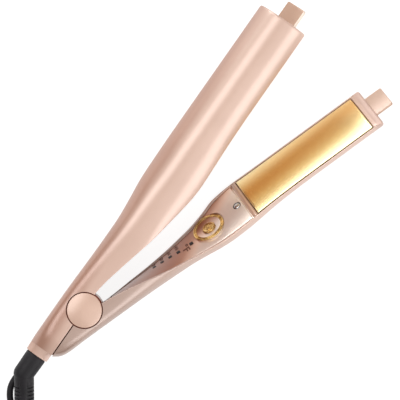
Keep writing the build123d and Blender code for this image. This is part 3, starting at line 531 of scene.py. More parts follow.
def add_softbox(name, towards, distance, size, power):
    """An area lamp at a distance in a direction from the iron's middle, facing it."""
    data = bpy.data.lights.new(name, "AREA")
    data.shape = "RECTANGLE"
    data.size, data.size_y = size
    data.energy = power
    lamp = add_object(name, data)
    lamp.visible_camera = False
    way = Vector(towards).normalized()
    along = (AHEAD - way * AHEAD.dot(way)).normalized()
    lamp.matrix_world = frame_at(VIEW_CENTRE + way * distance, along, way)


def leaning(degrees):
    """A direction that leans from straight up towards +Y by an angle."""
    return (0, sin(radians(degrees)), cos(radians(degrees)))


bpy.context.scene.view_settings.view_transform = "Standard"
add_camera()
add_floor()
add_world()
add_softbox("key_strip", leaning(36), 1.3, (1.6, 0.60), 6.3)
add_softbox("side_box", leaning(-58), 1.2, (1.6, 0.84), 8.6)
add_softbox("low_strip", (0.485, 0.840, 0.242), 1.2, (0.7, 0.36), 4.2)
add_softbox("fill_box", leaning(-16), 1.4, (1.6, 0.90), 2.4)


# The arms' form
def rows_at(x):
    """The station values at x, on smooth curves through the rows."""
    last = len(STATIONS) - 1
    x = min(max(x, STATIONS[0][0]), STATIONS[last][0])
    i = max(k for k in range(last) if STATIONS[k][0] <= x)
    low, high = STATIONS[i], STATIONS[i + 1]
    before, after = STATIONS[max(i - 1, 0)], STATIONS[min(i + 2, last)]
    step = high[0] - low[0]
    t = (x - low[0]) / step
    values = []
    for a, b, c, d in zip(before[1:], low[1:], high[1:], after[1:]):
        slope_in = (c - a) / (high[0] - before[0]) * step
        slope_out = (d - b) / (after[0] - low[0]) * step
        values.append(
            b * (2 * t**3 - 3 * t**2 + 1)
            + slope_in * (t**3 - 2 * t**2 + t)
            + c * (3 * t**2 - 2 * t**3)
            + slope_out * (t**3 - t**2)
        )
    return values


class Section:
    """The arms' cross-section at x: a squarish ellipse, cut by the twisted face between them."""

    def __init__(self, x, inset=0.0):
        cord_in, control_in, top_in, *form, cord_face, control_face, self.wall = rows_at(x)
        self.x = x
        self.middle, self.power, twist = form
        self.up, self.down = BARREL_R - cord_in - inset, BARREL_R - control_in - inset
        self.height = BARREL_R - top_in - inset
        self.angle = radians(twist)
        self.faces = {CORD_SIDE: cord_face, CONTROL_SIDE: control_face}

    def level(self, side, depth):
        return self.faces[side] - side * depth

    def point(self, level, along):
        c, s = cos(self.angle), sin(self.angle)
        return Vector((self.x, self.middle - level * c - along * s, AXIS_Z - level * s + along * c))

    def at(self, side, depth, along):
        """The place at a depth under an arm's face."""
        return self.point(self.level(side, depth), along)

    def inside(self, place):
        y, z = place.y - self.middle, place.z - AXIS_Z
        reach = self.up if y > 0 else self.down
        return abs(y / reach) ** self.power + abs(z / self.height) ** self.power < 1

    def half_width(self, level, sign):
        """How far the face at this level runs from its middle to the wall, on one side."""
        return farthest(lambda half: self.inside(self.point(level, sign * half)), 24)

    def corner(self, level, sign):
        return self.point(level, sign * self.half_width(level, sign))

    def rim(self, direction):
        """The outline's place in a direction from the middle."""
        c, s = cos(direction), sin(direction)
        reach = self.up if c > 0 else self.down
        powers = abs(c / reach) ** self.power + abs(s / self.height) ** self.power
        far = powers ** (-1 / self.power)
        return Vector((self.x, self.middle + far * c, AXIS_Z + far * s))

    def arc(self, side, level, count):
        """Places along the back of one arm, between the two corners of its face."""
        near, far = self.corner(level, 1), self.corner(level, -1)
        start = atan2(near.z - AXIS_Z, near.y - self.middle)
        end = atan2(far.z - AXIS_Z, far.y - self.middle)
        full = 2 * pi
        turn = (end - start) % full if side == CONTROL_SIDE else -((start - end) % full)
        between = [self.rim(start + turn * k / (count + 1)) for k in range(1, count + 1)]
        return [near, *between, far]


def rounded(before, corner, after, radius, count=4):
    """Places on a soft bend in place of a corner."""
    into = (before - corner).normalized() * radius
    out = (after - corner).normalized() * radius
    shares = [k / count for k in range(count + 1)]
    return [corner + into * (1 - t) ** 2 + out * t**2 for t in shares]


def rounded_box(corners, radius, count):
    """The outline of a rounded box from its four corners."""
    ring = []
    for k in range(4):
        ring += rounded(corners[k - 1], corners[k], corners[(k + 1) % 4], radius, count)
    return ring


ARC_COUNT = 56
TAIL_SEAM = 0.4
LIP_R, LIP_INNER_R = 0.5, 0.25


def shell_ring(x, side, hollow, inset=0.0):
    """One closed outline of an arm's shell: round its back, over each lip and round its inside."""
    outer = Section(x, inset)
    inner = Section(x, outer.wall + inset)
    level = outer.level(side, inset)
    back = outer.arc(side, level, ARC_COUNT)
    if hollow:
        front = inner.arc(side, level, ARC_COUNT)
    else:
        near, far = inner.corner(level, 1), inner.corner(level, -1)
        front = [near.lerp(far, k / (ARC_COUNT + 1)) for k in range(ARC_COUNT + 2)]
    lip, inner_lip = min(LIP_R, 0.45 * outer.wall), min(LIP_INNER_R, 0.3 * outer.wall)
    return [
        *rounded(front[0], back[0], back[1], lip), *back[1:-1],
        *rounded(back[-2], back[-1], front[-1], lip),
        *rounded(back[-1], front[-1], front[-2], inner_lip), *front[-2:0:-1],
        *rounded(front[1], front[0], back[0], inner_lip),
    ]


def stops(start, end, step=2.0):
    count = max(1, round((end - start) / step))
    return [start + (end - start) * k / count for k in range(count + 1)]


TIP_ROUND = 1.4


def shell_skin(name, side, start):
    """An arm's shell: solid at the hinge, hollow along the arm, with a rounded end wall."""
    rings = [shell_ring(x, side, False) for x in stops(start, CAVITY_X)]
    rings += [shell_ring(x, side, True) for x in stops(CAVITY_X, TIP_X - TIP_WALL)]
    rings.append(shell_ring(TIP_X - TIP_WALL, side, False))
    for run, drop in round_over(TIP_ROUND, 6):
        rings.append(shell_ring(TIP_X - run, side, False, drop * 0.8))
    obj = skin(name, rings)
    clean(obj)
    return obj


def clean(obj):
    """Joins points that fall together, and drops faces with no area."""
    rework(
        obj.data,
        lambda work: bmesh.ops.remove_doubles(work, verts=work.verts, dist=0.004 * MM),
        lambda work: bmesh.ops.dissolve_degenerate(work, edges=work.edges, dist=0.002 * MM),
    )


def cylinder(radius, start, end, sides=96):
    """A cylinder between two places, to cut with or to join."""
    return tube("cylinder", [start, end], radius, sides)


def upright(radius, low, high):
    return cylinder(radius, UP * low, UP * high)


def prism(outline):
    """An upright cutter over an outline of (x, y) places, past the arms' height."""
    return skin("cutter", [[Vector((x, y, z)) for x, y in outline] for z in (-1, TOP_Z + 1)])


def combine(obj, others, operation="DIFFERENCE"):
    """Cuts the other solids out of a piece, or joins them to it, and removes them."""
    for other in others:
        modifier = obj.modifiers.new("combine", "BOOLEAN")
        modifier.operation = operation
        modifier.solver = "EXACT"
        modifier.object = other
    bpy.context.view_layer.update()
    graph = bpy.context.evaluated_depsgraph_get()
    mesh = bpy.data.meshes.new_from_object(obj.evaluated_get(graph))
    obj.modifiers.clear()
    obj.data = mesh
    for other in others:
        bpy.data.objects.remove(other)


def join(obj, others):
    """Adds the meshes of other pieces to a piece, as they are, and removes those pieces."""
    work = bmesh.new()
    for one in [obj, *others]:
        work.from_mesh(one.data)
    work.to_mesh(obj.data)
    work.free()
    for other in others:
        bpy.data.objects.remove(other)
    return obj


CRISP, LOW_CRISP = 40, 32
OPEN_BODIES = ("control_arm", "control_plate_float", "power_button")
SIDE_SHARE = 0.6


def dress(obj, mat, body, slot, *nodes, crisp=CRISP):
    """Gives a piece its shading, finish and body, in place of the CAD nodes that it stands for."""
    if crisp:
        shade_by_angle(obj, crisp)
    # The control arm's pieces are made in the closed place, and turned to the arm's rest here
    if body in OPEN_BODIES:
        obj.data.transform(Matrix.Rotation(-OPEN_ANGLE, 4, "Z"))
    finish(obj, mat)
    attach(obj, body)
    if nodes:
        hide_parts(*nodes)


def side_shade_finish(obj, mat, way):
    """A second finish on the faces that look along a way, used for painted shade on the plates'
    sides.
    """
    obj.data.materials.append(mat)
    for polygon in obj.data.polygons:
        if abs(polygon.normal.dot(Vector(way))) > SIDE_SHARE:
            polygon.material_index = len(obj.data.materials) - 1


# The shells
def cover_bays():
    """The room for the two hinge covers."""
    bay = COVER_R + COVER_CUT
    depth = COVER_T + LAYER_GAP
    return [upright(bay, -1, depth), upright(bay, TOP_Z - COVER_T - LAYER_GAP, TOP_Z + 1)]


def make_cord_shell():
    shell = shell_skin("cord_arm_housing", CORD_SIDE, STATIONS[0][0])
    hub = HUB_R + HUB_CUT
    start = STATIONS[0][0]
    behind = [(start - 9, -30), (SHELL_BACK_X, -30), (SHELL_BACK_X, 40), (start - 9, 40)]
    axis = [(x, SWIVEL_Y, AXIS_Z) for x in (start - 2, COLLAR_START)]
    combine(shell, [
        *cover_bays(), upright(hub, LOWER_EAR[0] - EAR_ROOM, KNUCKLE[0]),
        upright(hub, KNUCKLE[1], UPPER_EAR[1] + EAR_ROOM), cylinder(COLLAR_R, *axis), prism(behind),
    ])
    combine(shell, [upright(HUB_R, *KNUCKLE)], "UNION")
    dress(shell, CORD_HOUSING_PAINTED_SHADE, "cord_arm", "rose_housing", "cord_arm_shell", crisp=LOW_CRISP)


def make_control_shell():
    shell = shell_skin("control_arm_housing", CONTROL_SIDE, CONTROL_TAIL_X)
    hub = HUB_R + HUB_CUT
    tail = prism([(-80, 0), (-COVER_R, 0), (-COVER_R, 40), (-80, 40)])
    tail.data.transform(Matrix.Translation((0, (TAIL_STOP_Y - TAIL_SEAM) * MM, 0)))
    tail.data.transform(Matrix.Rotation(OPEN_ANGLE, 4, "Z"))
    combine(shell, cover_bays() + [upright(hub, LOWER_EAR[1], UPPER_EAR[0]), tail])
    combine(shell, [upright(HUB_R, *LOWER_EAR), upright(HUB_R, *UPPER_EAR)], "UNION")
    dress(shell, CONTROL_HOUSING_PAINTED_SHADE, "control_arm", "rose_housing", "control_arm_shell", crisp=LOW_CRISP)


# The panel, the inner cover and the plates
PANEL_GAP, NEAR_GAP, PANEL_T, PANEL_SAG = 0.5, 1.2, 1.6, 0.8
GROOVE, GROOVE_DEPTH = 0.9, 1.4
SOFT_EDGE, PLATE_EDGE = 0.35, 0.4
FACE_COLUMNS, STRIP_COLUMNS = 24, 8
EASE_RUN = 1.5
PANEL_EASE = [(0.0, 0.5), (0.15, 0.22), (0.5, 0.0)]
PLATE_EASE = [(0.0, 0.4), (0.15, 0.15), (0.4, 0.0)]
PLATE_SAG, PLATE_SIDE_GAP = 0.7, 1.0


def panel_reach(x, side):
    """How far a cover runs from its middle: to a gap beside the wall, wider at its near side."""
    section = Section(x, Section(x).wall + PANEL_GAP)
    face = section.level(side, 0)
    near = section.half_width(face, 1) - (NEAR_GAP - PANEL_GAP)
    return section, near, section.half_width(face, -1)


def crowned_ring(side, section, near, far, top, sag, drop, back, edge):
    """An outline across the arm: a crowned face with soft edges, over a flat back."""
    face = []
    for k in range(FACE_COLUMNS + 1):
        u = 1 - 2 * k / FACE_COLUMNS
        along = (near if u > 0 else far) * u
        face.append(section.at(side, top + sag * u * u + drop, along))
    return soft_strip(face, [section.at(side, back, -far), section.at(side, back, near)], edge)


def soft_strip(face, corners, edge):
    """An outline from a face and the two corners under it, with the face's edges softened."""
    near_edge = rounded(corners[1], face[0], face[1], edge)
    far_edge = rounded(face[-2], face[-1], corners[0], edge)
    return near_edge + face[1:-1] + far_edge + corners


def panel_ring(x, side, drop):
    form = (0.0, PANEL_SAG, drop, PANEL_SAG + PANEL_T, SOFT_EDGE)
    return crowned_ring(side, *panel_reach(x, side), *form)


def plate_ring(x, side, inset):
    section = Section(x, Section(x).wall + PLATE_SIDE_GAP + inset)
    face = section.level(side, -PLATE_PROUD)
    near, far = section.half_width(face, 1), section.half_width(face, -1)
    form = (-PLATE_PROUD, PLATE_SAG, inset, PLATE_T - PLATE_PROUD, PLATE_EDGE)
    return crowned_ring(side, section, near, far, *form)


def eased_places(first, last, ease, step):
    """Places along a piece, each with its drop; ease has the run and drop of those at its ends."""
    return (
        [(first + run, drop) for run, drop in ease]
        + [(x, 0.0) for x in stops(first + EASE_RUN, last - EASE_RUN, step)]
        + [(last - run, drop) for run, drop in reversed(ease)]
    )


def crowned_cover(name, side):
    """A cover that fills an arm's open face, from the hinge to the cross band."""
    places = eased_places(CAVITY_X + 1.2, PANEL_END, PANEL_EASE, 1.6)
    places += [(PANEL_END, GROOVE_DEPTH), (PANEL_END + GROOVE, GROOVE_DEPTH)]
    return skin(name, [panel_ring(x, side, drop) for x, drop in places])


def face_frame(side, x, along):
    """A frame at a place on an arm's face: along the arm, across the face and out of it."""
    section = Section(x)
    out = Vector((0, cos(section.angle), sin(section.angle))) * -side
    return frame_at(section.at(side, 0, along), AHEAD, out)


DIAL = face_frame(CONTROL_SIDE, DIAL_X, DIAL_SHIFT)
SCREW = face_frame(CONTROL_SIDE, SCREW_X, SCREW_SHIFT)


def lathe(name, profile, place, sides=96):
    """A turned piece: (radius, height) places round an axis; closed where the profile is."""
    rings = [[place @ Vector((r * c, r * s, h)) for r, h in profile] for c, s in circle(sides)]
    obj = skin(name, rings, closed=True)
    clean(obj)
    return obj


def make_panel():
    panel = crowned_cover("control_panel_face", CONTROL_SIDE)
    well = cylinder(SCREW_HEAD_R + 0.4, SCREW @ (UP * -1.3), SCREW @ (UP * 2), 48)
    hole = cylinder(DIAL_R + 0.45, DIAL @ (UP * -7), DIAL @ (UP * 4))
    combine(panel, [well, hole])
    inner, outer = BUTTON_R + 0.25, DIAL_R + 0.6
    boss = lathe("boss", [
        (inner, -3.0), (inner, -0.35), (RING_INNER_R, -0.35), (RING_INNER_R, DIAL_BASE - 0.1),
        (DIAL_R, DIAL_BASE - 0.1), (DIAL_R, -0.6), (outer, -0.6), (outer, -3.0),
    ], DIAL)
    join(panel, [boss])
    dress(panel, PANEL_PAINTED_REFLECTION, "control_arm", "rose_panel", "control_panel", crisp=LOW_CRISP)


def make_inner_cover():
    cover = crowned_cover("cord_arm_inner_face", CORD_SIDE)
    dress(cover, PANEL_PAINTED_REFLECTION, "cord_arm", "rose_panel", "cord_arm_inner_cover", crisp=LOW_CRISP)


def make_plate(arm, mat, way):
    """A heating plate, with painted shade in a darker gold on the sides that look along a way."""
    places = eased_places(PLATE_START, PLATE_END, PLATE_EASE, 3.0)
    rings = [plate_ring(x, ARMS[arm], inset) for x, inset in places]
    plate = skin(f"{arm}_heating_plate", rings)
    dress(plate, mat, f"{arm}_plate_float", "gold_plate", f"{arm}_arm_plate", crisp=LOW_CRISP)
    side_shade_finish(plate, PLATE_SIDE_PAINTED_SHADE, way)


# The dial
BEADS, BEAD_PLACE = 40, (9.88, 0, 0.95)


def make_ring():
    """The dial's gold ring: two polished rims, and a row of beads in the channel between them."""
    ring = lathe("dial_ring", [
        (8.72, 0.60), (8.72, 1.12), (8.85, 1.32), (9.05, 1.38), (9.25, 1.30), (9.38, 1.10),
        (9.50, 1.0), (10.25, 1.0), (10.38, 1.10), (10.52, 1.32), (10.75, 1.42), (10.95, 1.34),
        (11.08, 1.12), (11.1, 0.60),
    ], DIAL, 144)
    bead = [(0, 0), (0.40, 0), (0.39, 0.12), (0.31, 0.27), (0.17, 0.37), (0, 0.40)]
    beads = []
    for k in range(BEADS):
        turn = Matrix.Rotation(2 * pi * k / BEADS, 4, "Z") @ Matrix.Translation(BEAD_PLACE)
        beads.append(lathe("bead", bead, DIAL @ turn, 12))
    join(ring, beads)
    dress(ring, GOLD_TRIM_PAINTED_GLINTS, "control_arm", "gold_trim", "button_ring")


def make_dish():
    """The shallow dish between the ring and the button."""
    dish = lathe("dial_dish", [
        (BUTTON_R + 0.3, -0.3), (BUTTON_R + 0.3, 0.12), (BUTTON_R + 0.5, 0.2), (6.0, 0.26),
        (7.4, 0.46), (8.3, 0.78), (8.6, 0.98), (8.68, 0.98), (8.68, -0.3),
    ], DIAL)
    dress(dish, PANEL_PAINTED_REFLECTION, "control_arm", "rose_tip", "button_dish")


SIGN_R, SIGN_WIRE_R = 2.05, 0.34


def make_button():
    """The power button: a rimmed gold cap with a raised ring and bar."""
    cap = lathe("power_cap", [
        (0, -2.0), (BUTTON_R, -2.0), (BUTTON_R, 0.85), (4.28, 1.08), (4.02, 1.2), (3.72, 1.18),
        (3.52, 1.02), (3.38, 0.95), (1.6, 1.02), (0, 1.05),
    ], DIAL, 72)
    steps = [radians(40 + 280 * k / 36) for k in range(37)]
    loop = [DIAL @ Vector((SIGN_R * cos(a), SIGN_R * sin(a), 1.04)) for a in steps]
    bar = [DIAL @ Vector((x, 0, 1.06)) for x in (0.5, 2.7)]
    join(cap, [tube("symbol", line, SIGN_WIRE_R, 10) for line in (loop, bar)])
    dress(cap, GOLD_TRIM_PAINTED_GLINTS, "power_button", "gold_trim", "power_button")


# The panel's numbers, lights and screw
def number(name, text, x, along, height, stretch, bold):
    """Plain printed characters on the panel, read from its far side to its near side."""
    curve = bpy.data.curves.new(name, "FONT")
    curve.body = text
    curve.size = height * MM
    curve.align_x = curve.align_y = "CENTER"
    curve.extrude = 0.03 * MM
    curve.offset = bold * MM
    curve.resolution_u = 2
    mesh = curve_mesh(curve)
    for vertex in mesh.vertices:
        across, forward, up = vertex.co / MM
        section, near, far = panel_reach(x + forward, CONTROL_SIDE)
        place = along + across * stretch
        u = place / (near if place > 0 else far)
        depth = PANEL_SAG * u * u - (0.06 if up > 0 else -0.1)
        vertex.co = section.at(CONTROL_SIDE, depth, place) * MM
    return add_object(name, mesh)


FACE_HALF, WINDOW_HALF = 14, (1.35, 1.85)
LABELS = ["\u00b0F", "450", "410", "370", "330"]
LABEL_OFFSETS = [(-5.0, 0.5), (0.3, -7.4), (0.3, -7.4), (0.3, -7.0), (0.3, -6.6)]


def make_labels():
    """Five plain prints, the first in larger letters, each beside its light."""
    for k, ((x, along), text, (ahead, aside)) in enumerate(zip(WINDOWS, LABELS, LABEL_OFFSETS)):
        height, stretch, bold = (6.6, 1.7, 0.16) if k == 0 else (3.4, 1.3, 0.08)
        label = number(f"panel_number_{k}", text, x + ahead, along + aside, height, stretch, bold)
        dress(label, INK, "control_arm", "lens_dark", crisp=None)


def make_screw():
    """The panel's screw: a domed head with a cross, in a dark seat."""
    rim, floor = SCREW_HEAD_R - 0.25, SCREW_HEAD_R + 0.5
    head = lathe("screw_head", [
        (0, -1.2), (rim, -1.2), (rim, -0.35), (SCREW_HEAD_R - 0.4, -0.15), (1.5, 0.0), (0, 0.05),
    ], SCREW, 48)
    cuts = [
        skin("cutter", [[SCREW @ Vector((x, y, z)) for x, y in outline] for z in (-0.6, 0.5)])
        for outline in (box(1.25, 0.3), box(0.3, 1.25))
    ]
    combine(head, cuts)
    dress(head, STEEL, "control_arm", "screw_steel", "panel_screw", crisp=35)
    seat = lathe("screw_seat", [(0, -1.6), (floor, -1.6), (floor, -0.7), (0, -0.7)], SCREW, 48)
    dress(seat, DARK, "control_arm", "lens_dark", crisp=None)


def make_windows():
    """The panel's light windows: small rounded lenses that stand a little proud."""
    windows = []
    for x, along in WINDOWS:
        place = face_frame(CONTROL_SIDE, x, along)
        sag = along / FACE_HALF
        rings = []
        for height, grow in ((-1.2, 0.0), (0.02, 0.0), (0.12, -0.08), (0.16, -0.25)):
            marks = box(WINDOW_HALF[0] + grow, WINDOW_HALF[1] + grow)
            level = height - PANEL_SAG * sag * sag
            corners = [place @ Vector((*mark, level)) for mark in marks]
            rings.append(rounded_box(corners, 0.6, 4))
        windows.append(skin("window", rings))
    lenses = join(windows[0], windows[1:])
    lenses.name = "light_windows"
    dress(lenses, DARK, "control_arm", "lens_dark", "led_windows")


# The hinge covers, the dark pieces of painted shade in the gaps, and the cord's end
def make_cover(place, turn):
    """A hinge cover: a disc with a soft rim, with a fine gap round it."""
    outer, t = COVER_R - 0.3, COVER_T
    cover = lathe(f"hinge_disc_{place}", [
        (0, 0), (outer, 0), (outer, t - 0.55), (outer - 0.1, t - 0.25), (outer - 0.35, t - 0.05),
        (0, t),
    ], turn, 128)
    dress(cover, COVER, "cord_arm", "rose_housing", f"hinge_cover_{place}")


def make_cover_gap_shade(place, low):
    """A dark brown ring under the gap round a hinge cover: painted shade in the gap."""
    inner, outer = COVER_R - 0.5, COVER_R + COVER_CUT + 0.2
    profile = [(inner, 0), (outer, 0), (outer, 0.5), (inner, 0.6)]
    seal = lathe(f"hinge_gap_shade_{place}", profile, Matrix.Translation(UP * low))
    dress(seal, GAP_SHADE, "cord_arm", "lens_dark", crisp=None)


def make_tail_seam_shade():
    """A dark brown strip in the seam at the cord arm's tail: painted shade, so that the seam shows
    dark.
    """
    rings = []
    for x in stops(SHELL_BACK_X + 0.4, -HUB_R - 0.2):
        rise = min(1.0, (x - SHELL_BACK_X) / 8)
        low, high = AXIS_Z - 8 - 5 * rise, AXIS_Z + 8.5 + 5 * rise
        rings.append([Vector((x, y, z)) for y, z in (
            (0.15, low + 0.2), (0.3, low), (1.0, low), (1.0, high), (0.3, high), (0.15, high - 0.2),
        )])
    dress(skin("tail_seam_shade", rings), GAP_SHADE, "cord_arm", "lens_dark")


NECK_R, NECK_COLUMNS, NECK_FLAT_Y, NECK_ROUND = 7.9, 96, 1.0, 0.7


def neck_reach(section, way):
    """How far the arm's own outline lies from the swivel's axis, in a direction."""
    def inside(reach):
        place = Vector((section.x, SWIVEL_Y + reach * way[0], AXIS_Z + reach * way[1]))
        return section.inside(place) and place.y > NECK_FLAT_Y

    return farthest(inside, 20)


def neck_ring(x, inset=0.0):
    """The arm's outline at x, drawn in to the collar's round, sooner at the seam's side."""
    section = Section(x, 0.06)
    ring = []
    for way in circle(NECK_COLUMNS):
        sooner = 0.75 * clamp(0.35 - way[0])
        share = clamp((SHELL_BACK_X - x) / (SHELL_BACK_X - COLLAR_END) + sooner)
        share = share * share * (3 - 2 * share)
        reach = (1 - share) * neck_reach(section, way) + share * NECK_R - inset
        ring.append(Vector((x, SWIVEL_Y + reach * way[0], AXIS_Z + reach * way[1])))
    return ring


def make_collar():
    """The cord end of the arm, drawn in to a round collar with a soft rim."""
    rings = [neck_ring(x) for x in stops(SHELL_BACK_X + 1.5, COLLAR_END + 1.0, 0.6)]
    rings += [neck_ring(COLLAR_END + run, drop) for run, drop in round_over(NECK_ROUND, 5)[1:]]
    dress(skin("cord_collar", rings), COLLAR_PAINTED_SHADE, "cord_arm", "rose_tip", "swivel_collar")


def make_sleeve():
    """The turning sleeve: a slight taper to the ball that it bends about."""
    run = COLLAR_END - BEND.x
    ball = [(BALL_R * c, -BALL_R * s) for c, s in circle(48)[:12]]
    profile = [
        (0, run + 1), (6.2, run + 1), (6.2, run - 0.3), (6.75, run - 0.3), (SLEEVE_R, run - 0.7),
        (6.95, run * 0.6), (BALL_R, run * 0.1), *ball, (0, -BALL_R),
    ]
    sleeve = lathe("cord_sleeve", profile, frame_at(BEND, AHEAD.orthogonal().normalized(), AHEAD))
    dress(sleeve, RUBBER, "cord_swivel", "black_rubber", "swivel_sleeve")


RIB_STEPS = [
    (0.06, 0.25), (0.14, 0.8), (0.3, 1.0), (0.7, 1.0), (0.86, 0.8), (0.94, 0.25), (1.0, 0.0),
]
RELIEF_COLUMNS = 72


def relief_radius(along):
    taper_from = RELIEF_LENGTH * 0.45
    share = max(0.0, along - taper_from) / (RELIEF_LENGTH - taper_from)
    return RELIEF_R + (RELIEF_TIP_R - RELIEF_R) * share


def make_relief():
    """The guard of the cord: a taper with a row of slots down each side, and a smooth top."""
    stations = [(0.0, 0.0), (RELIEF_PLAIN, 0.0)]
    along = RELIEF_PLAIN
    while along + RIB_PITCH < RELIEF_LENGTH - 1:
        for share, depth in RIB_STEPS:
            stations.append((along + RIB_GROOVE * share, depth))
        along += RIB_PITCH
        stations.append((along, 0.0))
    stations += [(RELIEF_LENGTH - 0.5, 0.0), (RELIEF_LENGTH, 0.5)]
    up = ASIDE.cross(RELIEF_WAY)
    rings = []
    for at, depth in stations:
        rings.append([])
        for c, s in circle(RELIEF_COLUMNS):
            side = clamp((abs(c) - 0.3) / 0.3) if at < RELIEF_LENGTH else 1.0
            reach = relief_radius(at) - RIB_DEPTH * depth * side
            rings[-1].append(BEND + RELIEF_WAY * at + (ASIDE * c + up * s) * reach)
    relief = skin("cord_relief", rings)
    dress(relief, RUBBER, "cord_swivel", "black_rubber", "strain_relief", crisp=60)


# The tabs, the pads behind the heaters and the trays
def slab_ring(x, side, wide, shift, top, bottom, soft=0.5):
    """A rounded rectangle across the barrel's face, between two depths."""
    section = Section(x)
    marks = [(wide, top), (-wide, top), (-wide, bottom), (wide, bottom)]
    corners = [section.at(side, depth, shift + along) for along, depth in marks]
    return rounded_box(corners, soft, 3)


TAB_SOFT = 0.35
TABS = {"cord": (2.8, CORD_TAB_PAINTED_HIGHLIGHT), "control": (2.6, TAB)}


def make_tab(arm):
    """The flat cool tip: a tongue with rounded corners and soft edges."""
    places = [(TIP_X - TIP_WALL - 1, 0.0, 0.0), (TAB_END - TAB_CORNER, 0.0, 0.0)]
    for k, (run, drop) in list(enumerate(round_over(TAB_CORNER, 6)))[1:]:
        places.append((TAB_END - run, drop, TAB_SOFT * max(0.0, k / 3 - 1) ** 2))
    half, (thick, mat) = TAB_WIDTH / 2, TABS[arm]
    rings = [
        slab_ring(x, ARMS[arm], half - narrow, TAB_SHIFT, thin + TAB_SUNK, thick - thin)
        for x, narrow, thin in places
    ]
    tab = skin(f"{arm}_tip_tab", rings)
    dress(tab, mat, f"{arm}_arm", "rose_tip", f"{arm}_arm_end_tab")


PAD_HALF_WIDE = 6.0
PAD_ENDS = [(-5.0, 1.4), (-4.6, 0.5), (-3.6, 0.0), (3.6, 0.0), (4.6, 0.5), (5.0, 1.4)]


def make_pads(arm):
    """Two silicone pads behind a heater."""
    side = ARMS[arm]
    pads = []
    for middle in (PLATE_START + PAD_INSET, PLATE_END - PAD_INSET):
        pads.append(skin("pad", [
            slab_ring(middle + reach, side, PAD_HALF_WIDE - narrow, 0.0, PAD_TOP, BASE_DEPTH, 0.3)
            for reach, narrow in PAD_ENDS
        ]))
    pad = join(pads[0], pads[1:])
    pad.name = f"{arm}_plate_cushions"
    dress(pad, SILICONE, f"{arm}_arm", "silicone", f"{arm}_arm_plate_pads")
    section = Section(PLATE_START + PAD_INSET)
    seat = section.at(side, BASE_DEPTH, 0.0)
    way = section.at(side, PAD_TOP, 0.0) - seat
    if side == CONTROL_SIDE:
        for vector in (seat, way):
            vector.rotate(Matrix.Rotation(-OPEN_ANGLE, 3, "Z"))
    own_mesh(pad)


def strip_ring(x, side, gap, top, bottom):
    """A strip from wall to wall between two depths, with soft upper edges."""
    section = Section(x, Section(x).wall + gap)
    upper, lower = section.level(side, top), section.level(side, bottom)
    near, far = section.half_width(upper, 1), section.half_width(upper, -1)
    steps = [k / STRIP_COLUMNS for k in range(STRIP_COLUMNS + 1)]
    face = [section.point(upper, near + (-far - near) * step) for step in steps]
    return soft_strip(face, [section.corner(lower, -1), section.corner(lower, 1)], SOFT_EDGE)


def make_tray(arm):
    """The tray round a plate: a rounded cross band, a bridge at the far end and the floor."""
    name, side = f"{arm}_tray", ARMS[arm]
    deep = BASE_DEPTH + 0.5
    band = [
        (BAND_FROM, 1.6), (BAND_FROM + 0.06, 0.7), (BAND_FROM + 0.3, 0.3), (BAND_FROM + 0.8, 0.02),
        (BAND_FROM + 1.5, -0.15), (BAND_TO - 1.3, -0.15), (BAND_TO - 0.7, 0.02),
        (BAND_TO - 0.3, 0.3), (BAND_TO - 0.06, 0.7), (BAND_TO, 1.6),
    ]
    bridge = [
        (PLATE_END + 0.4, 1.2), (PLATE_END + 0.5, 0.3), (PLATE_END + 0.9, 0.0),
        (FRAME_END + 0.3, 0.0),
    ]
    tray, far = [
        skin(name, [strip_ring(x, side, 0.1, top, deep) for x, top in places])
        for places in (band, bridge)
    ]
    levels = (BASE_DEPTH, BASE_DEPTH + FRAME_T)
    ends = (BAND_FROM + 1, FRAME_END)
    base = skin("base", [strip_ring(x, side, FLOOR_SIDE_GAP, *levels) for x in ends])
    join(tray, [far, base])
    dress(tray, TRIM, f"{arm}_arm", "rose_panel", f"{arm}_arm_plate_frame", crisp=LOW_CRISP)


# Every piece, made in turn
make_cord_shell()
make_control_shell()
make_panel()
make_inner_cover()
make_plate("cord", CORD_PLATE_GOLD_PAINTED_REFLECTION, (0, -DIAGONAL, DIAGONAL))
make_plate("control", PLATE_GOLD_PAINTED_REFLECTION, (DIAGONAL * NEAR_WAY[0], DIAGONAL * NEAR_WAY[1], DIAGONAL))
make_ring()
make_dish()
make_button()
make_windows()
make_labels()
make_screw()
for arm_name in ARMS:
    make_pads(arm_name)
make_cover("lower", Matrix.Translation(UP * COVER_T) @ Matrix.Rotation(pi, 4, "X"))
make_cover("upper", Matrix.Translation(UP * (TOP_Z - COVER_T)))
make_cover_gap_shade("lower", COVER_T - 0.3)
make_cover_gap_shade("upper", TOP_Z - COVER_T - 0.3)
make_tail_seam_shade()
make_collar()
make_sleeve()
make_relief()
for make_both in (make_tab, make_tray):
    for arm_name in ARMS:
        make_both(arm_name)


# The free cord
COIL_PITCH = CORD_D + COIL_GAP
COIL_LOW = CORD_D / 2 + TIE_T + 0.1
COIL_HIGH = COIL_LOW + COIL_PITCH
LEAD_LEVEL = (RELIEF_TIP.z - COIL_LOW) / tan(RELIEF_DROP)
LEAD_CORNER = RELIEF_TIP + LEVEL_WAY * LEAD_LEVEL + UP * (COIL_LOW - RELIEF_TIP.z)
COIL_START = LEAD_CORNER + LEVEL_WAY * (LEAD_RUN + CORD_D)
COIL_CENTRE = COIL_START + ASIDE * COIL_OUTER_R - UP * COIL_LOW
PLUG_AXIS = COIL_HIGH + CORD_D / 2 + PART_GAP + PLUG_THICK / 2
POINTS_PER_HALF_TURN = 9


def over_coil(right, back, height):
    return COIL_CENTRE + ASIDE * right - LEVEL_WAY * back + UP * height


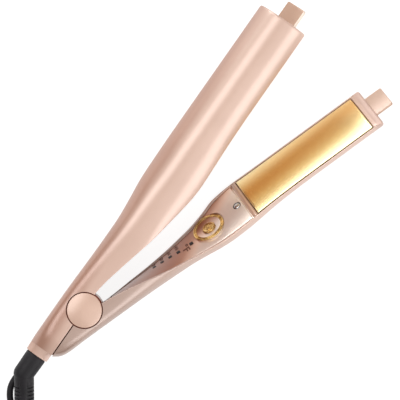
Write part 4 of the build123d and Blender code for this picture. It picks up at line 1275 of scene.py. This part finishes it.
def coil_points():
    """Control points of the coil: spiral in below, spiral out above, and up to the plug."""
    radii = [COIL_OUTER_R - k * COIL_PITCH / 2 for k in range(2 * TURNS_PER_LAYER)]
    turns = [(r, COIL_LOW, COIL_LOW) for r in radii]
    turns.append((radii[-1] - COIL_PITCH / 2, COIL_LOW, COIL_HIGH))
    turns += [(r, COIL_HIGH, COIL_HIGH) for r in reversed(radii)]
    stretch = 1 / cos(pi / (2 * POINTS_PER_HALF_TURN)) ** 0.66
    right, way, points = -COIL_OUTER_R, 1, []
    for radius, low, high in turns:
        middle = right + way * radius
        for k in range(1, POINTS_PER_HALF_TURN + 1):
            share = (k - 0.5) / POINTS_PER_HALF_TURN
            angle = pi * share
            points.append(over_coil(
                middle - way * radius * stretch * cos(angle),
                -way * radius * stretch * sin(angle),
                low + (high - low) * share,
            ))
        right += 2 * way * radius
        way = -way
    return points, right


def cord_route():
    coil, right = coil_points()
    lead = [RELIEF_TIP, LEAD_CORNER, LEAD_CORNER + LEVEL_WAY * LEAD_RUN]
    climb = [
        over_coil(right - 0.5, 14.0, COIL_HIGH + 0.4),
        over_coil(right - 8.0, 31.0, COIL_HIGH + 3.0),
        over_coil(right - 26.0, 44.0, COIL_HIGH + COIL_PITCH),
        over_coil(-6.0, 46.0, COIL_HIGH + COIL_PITCH + 1.5),
        over_coil(-26.0, 34.0, COIL_HIGH + COIL_PITCH + 2.0),
        over_coil(-35.0, 12.0, PLUG_AXIS - 2.5),
        over_coil(-34.0, -8.0, PLUG_AXIS - 1.0),
        over_coil(-26.0, -24.0, PLUG_AXIS),
        over_coil(-12.0, -28.0, PLUG_AXIS),
        over_coil(2.0, -28.0, PLUG_AXIS),
    ]
    return lead + coil + climb


CORD_LINE, CORD_LENGTH = smooth_line("cord_route", cord_route())
power_cord = tube("power_cord", CORD_LINE, CORD_D / 2, 16)
finish(power_cord, CORD)
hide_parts("cord_lead", "cord_coil")
# The way of a blend that runs slantwise, and how far along it the coil starts.
BLEND_TURN, BLEND_ROOM = radians(50.0), 0.1
BLEND_WAY = LEVEL_WAY * cos(BLEND_TURN) + ASIDE * sin(BLEND_TURN)
COIL_FROM = min(point.dot(BLEND_WAY) for point in coil_points()[0]) - CORD_D / 2
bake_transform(power_cord)
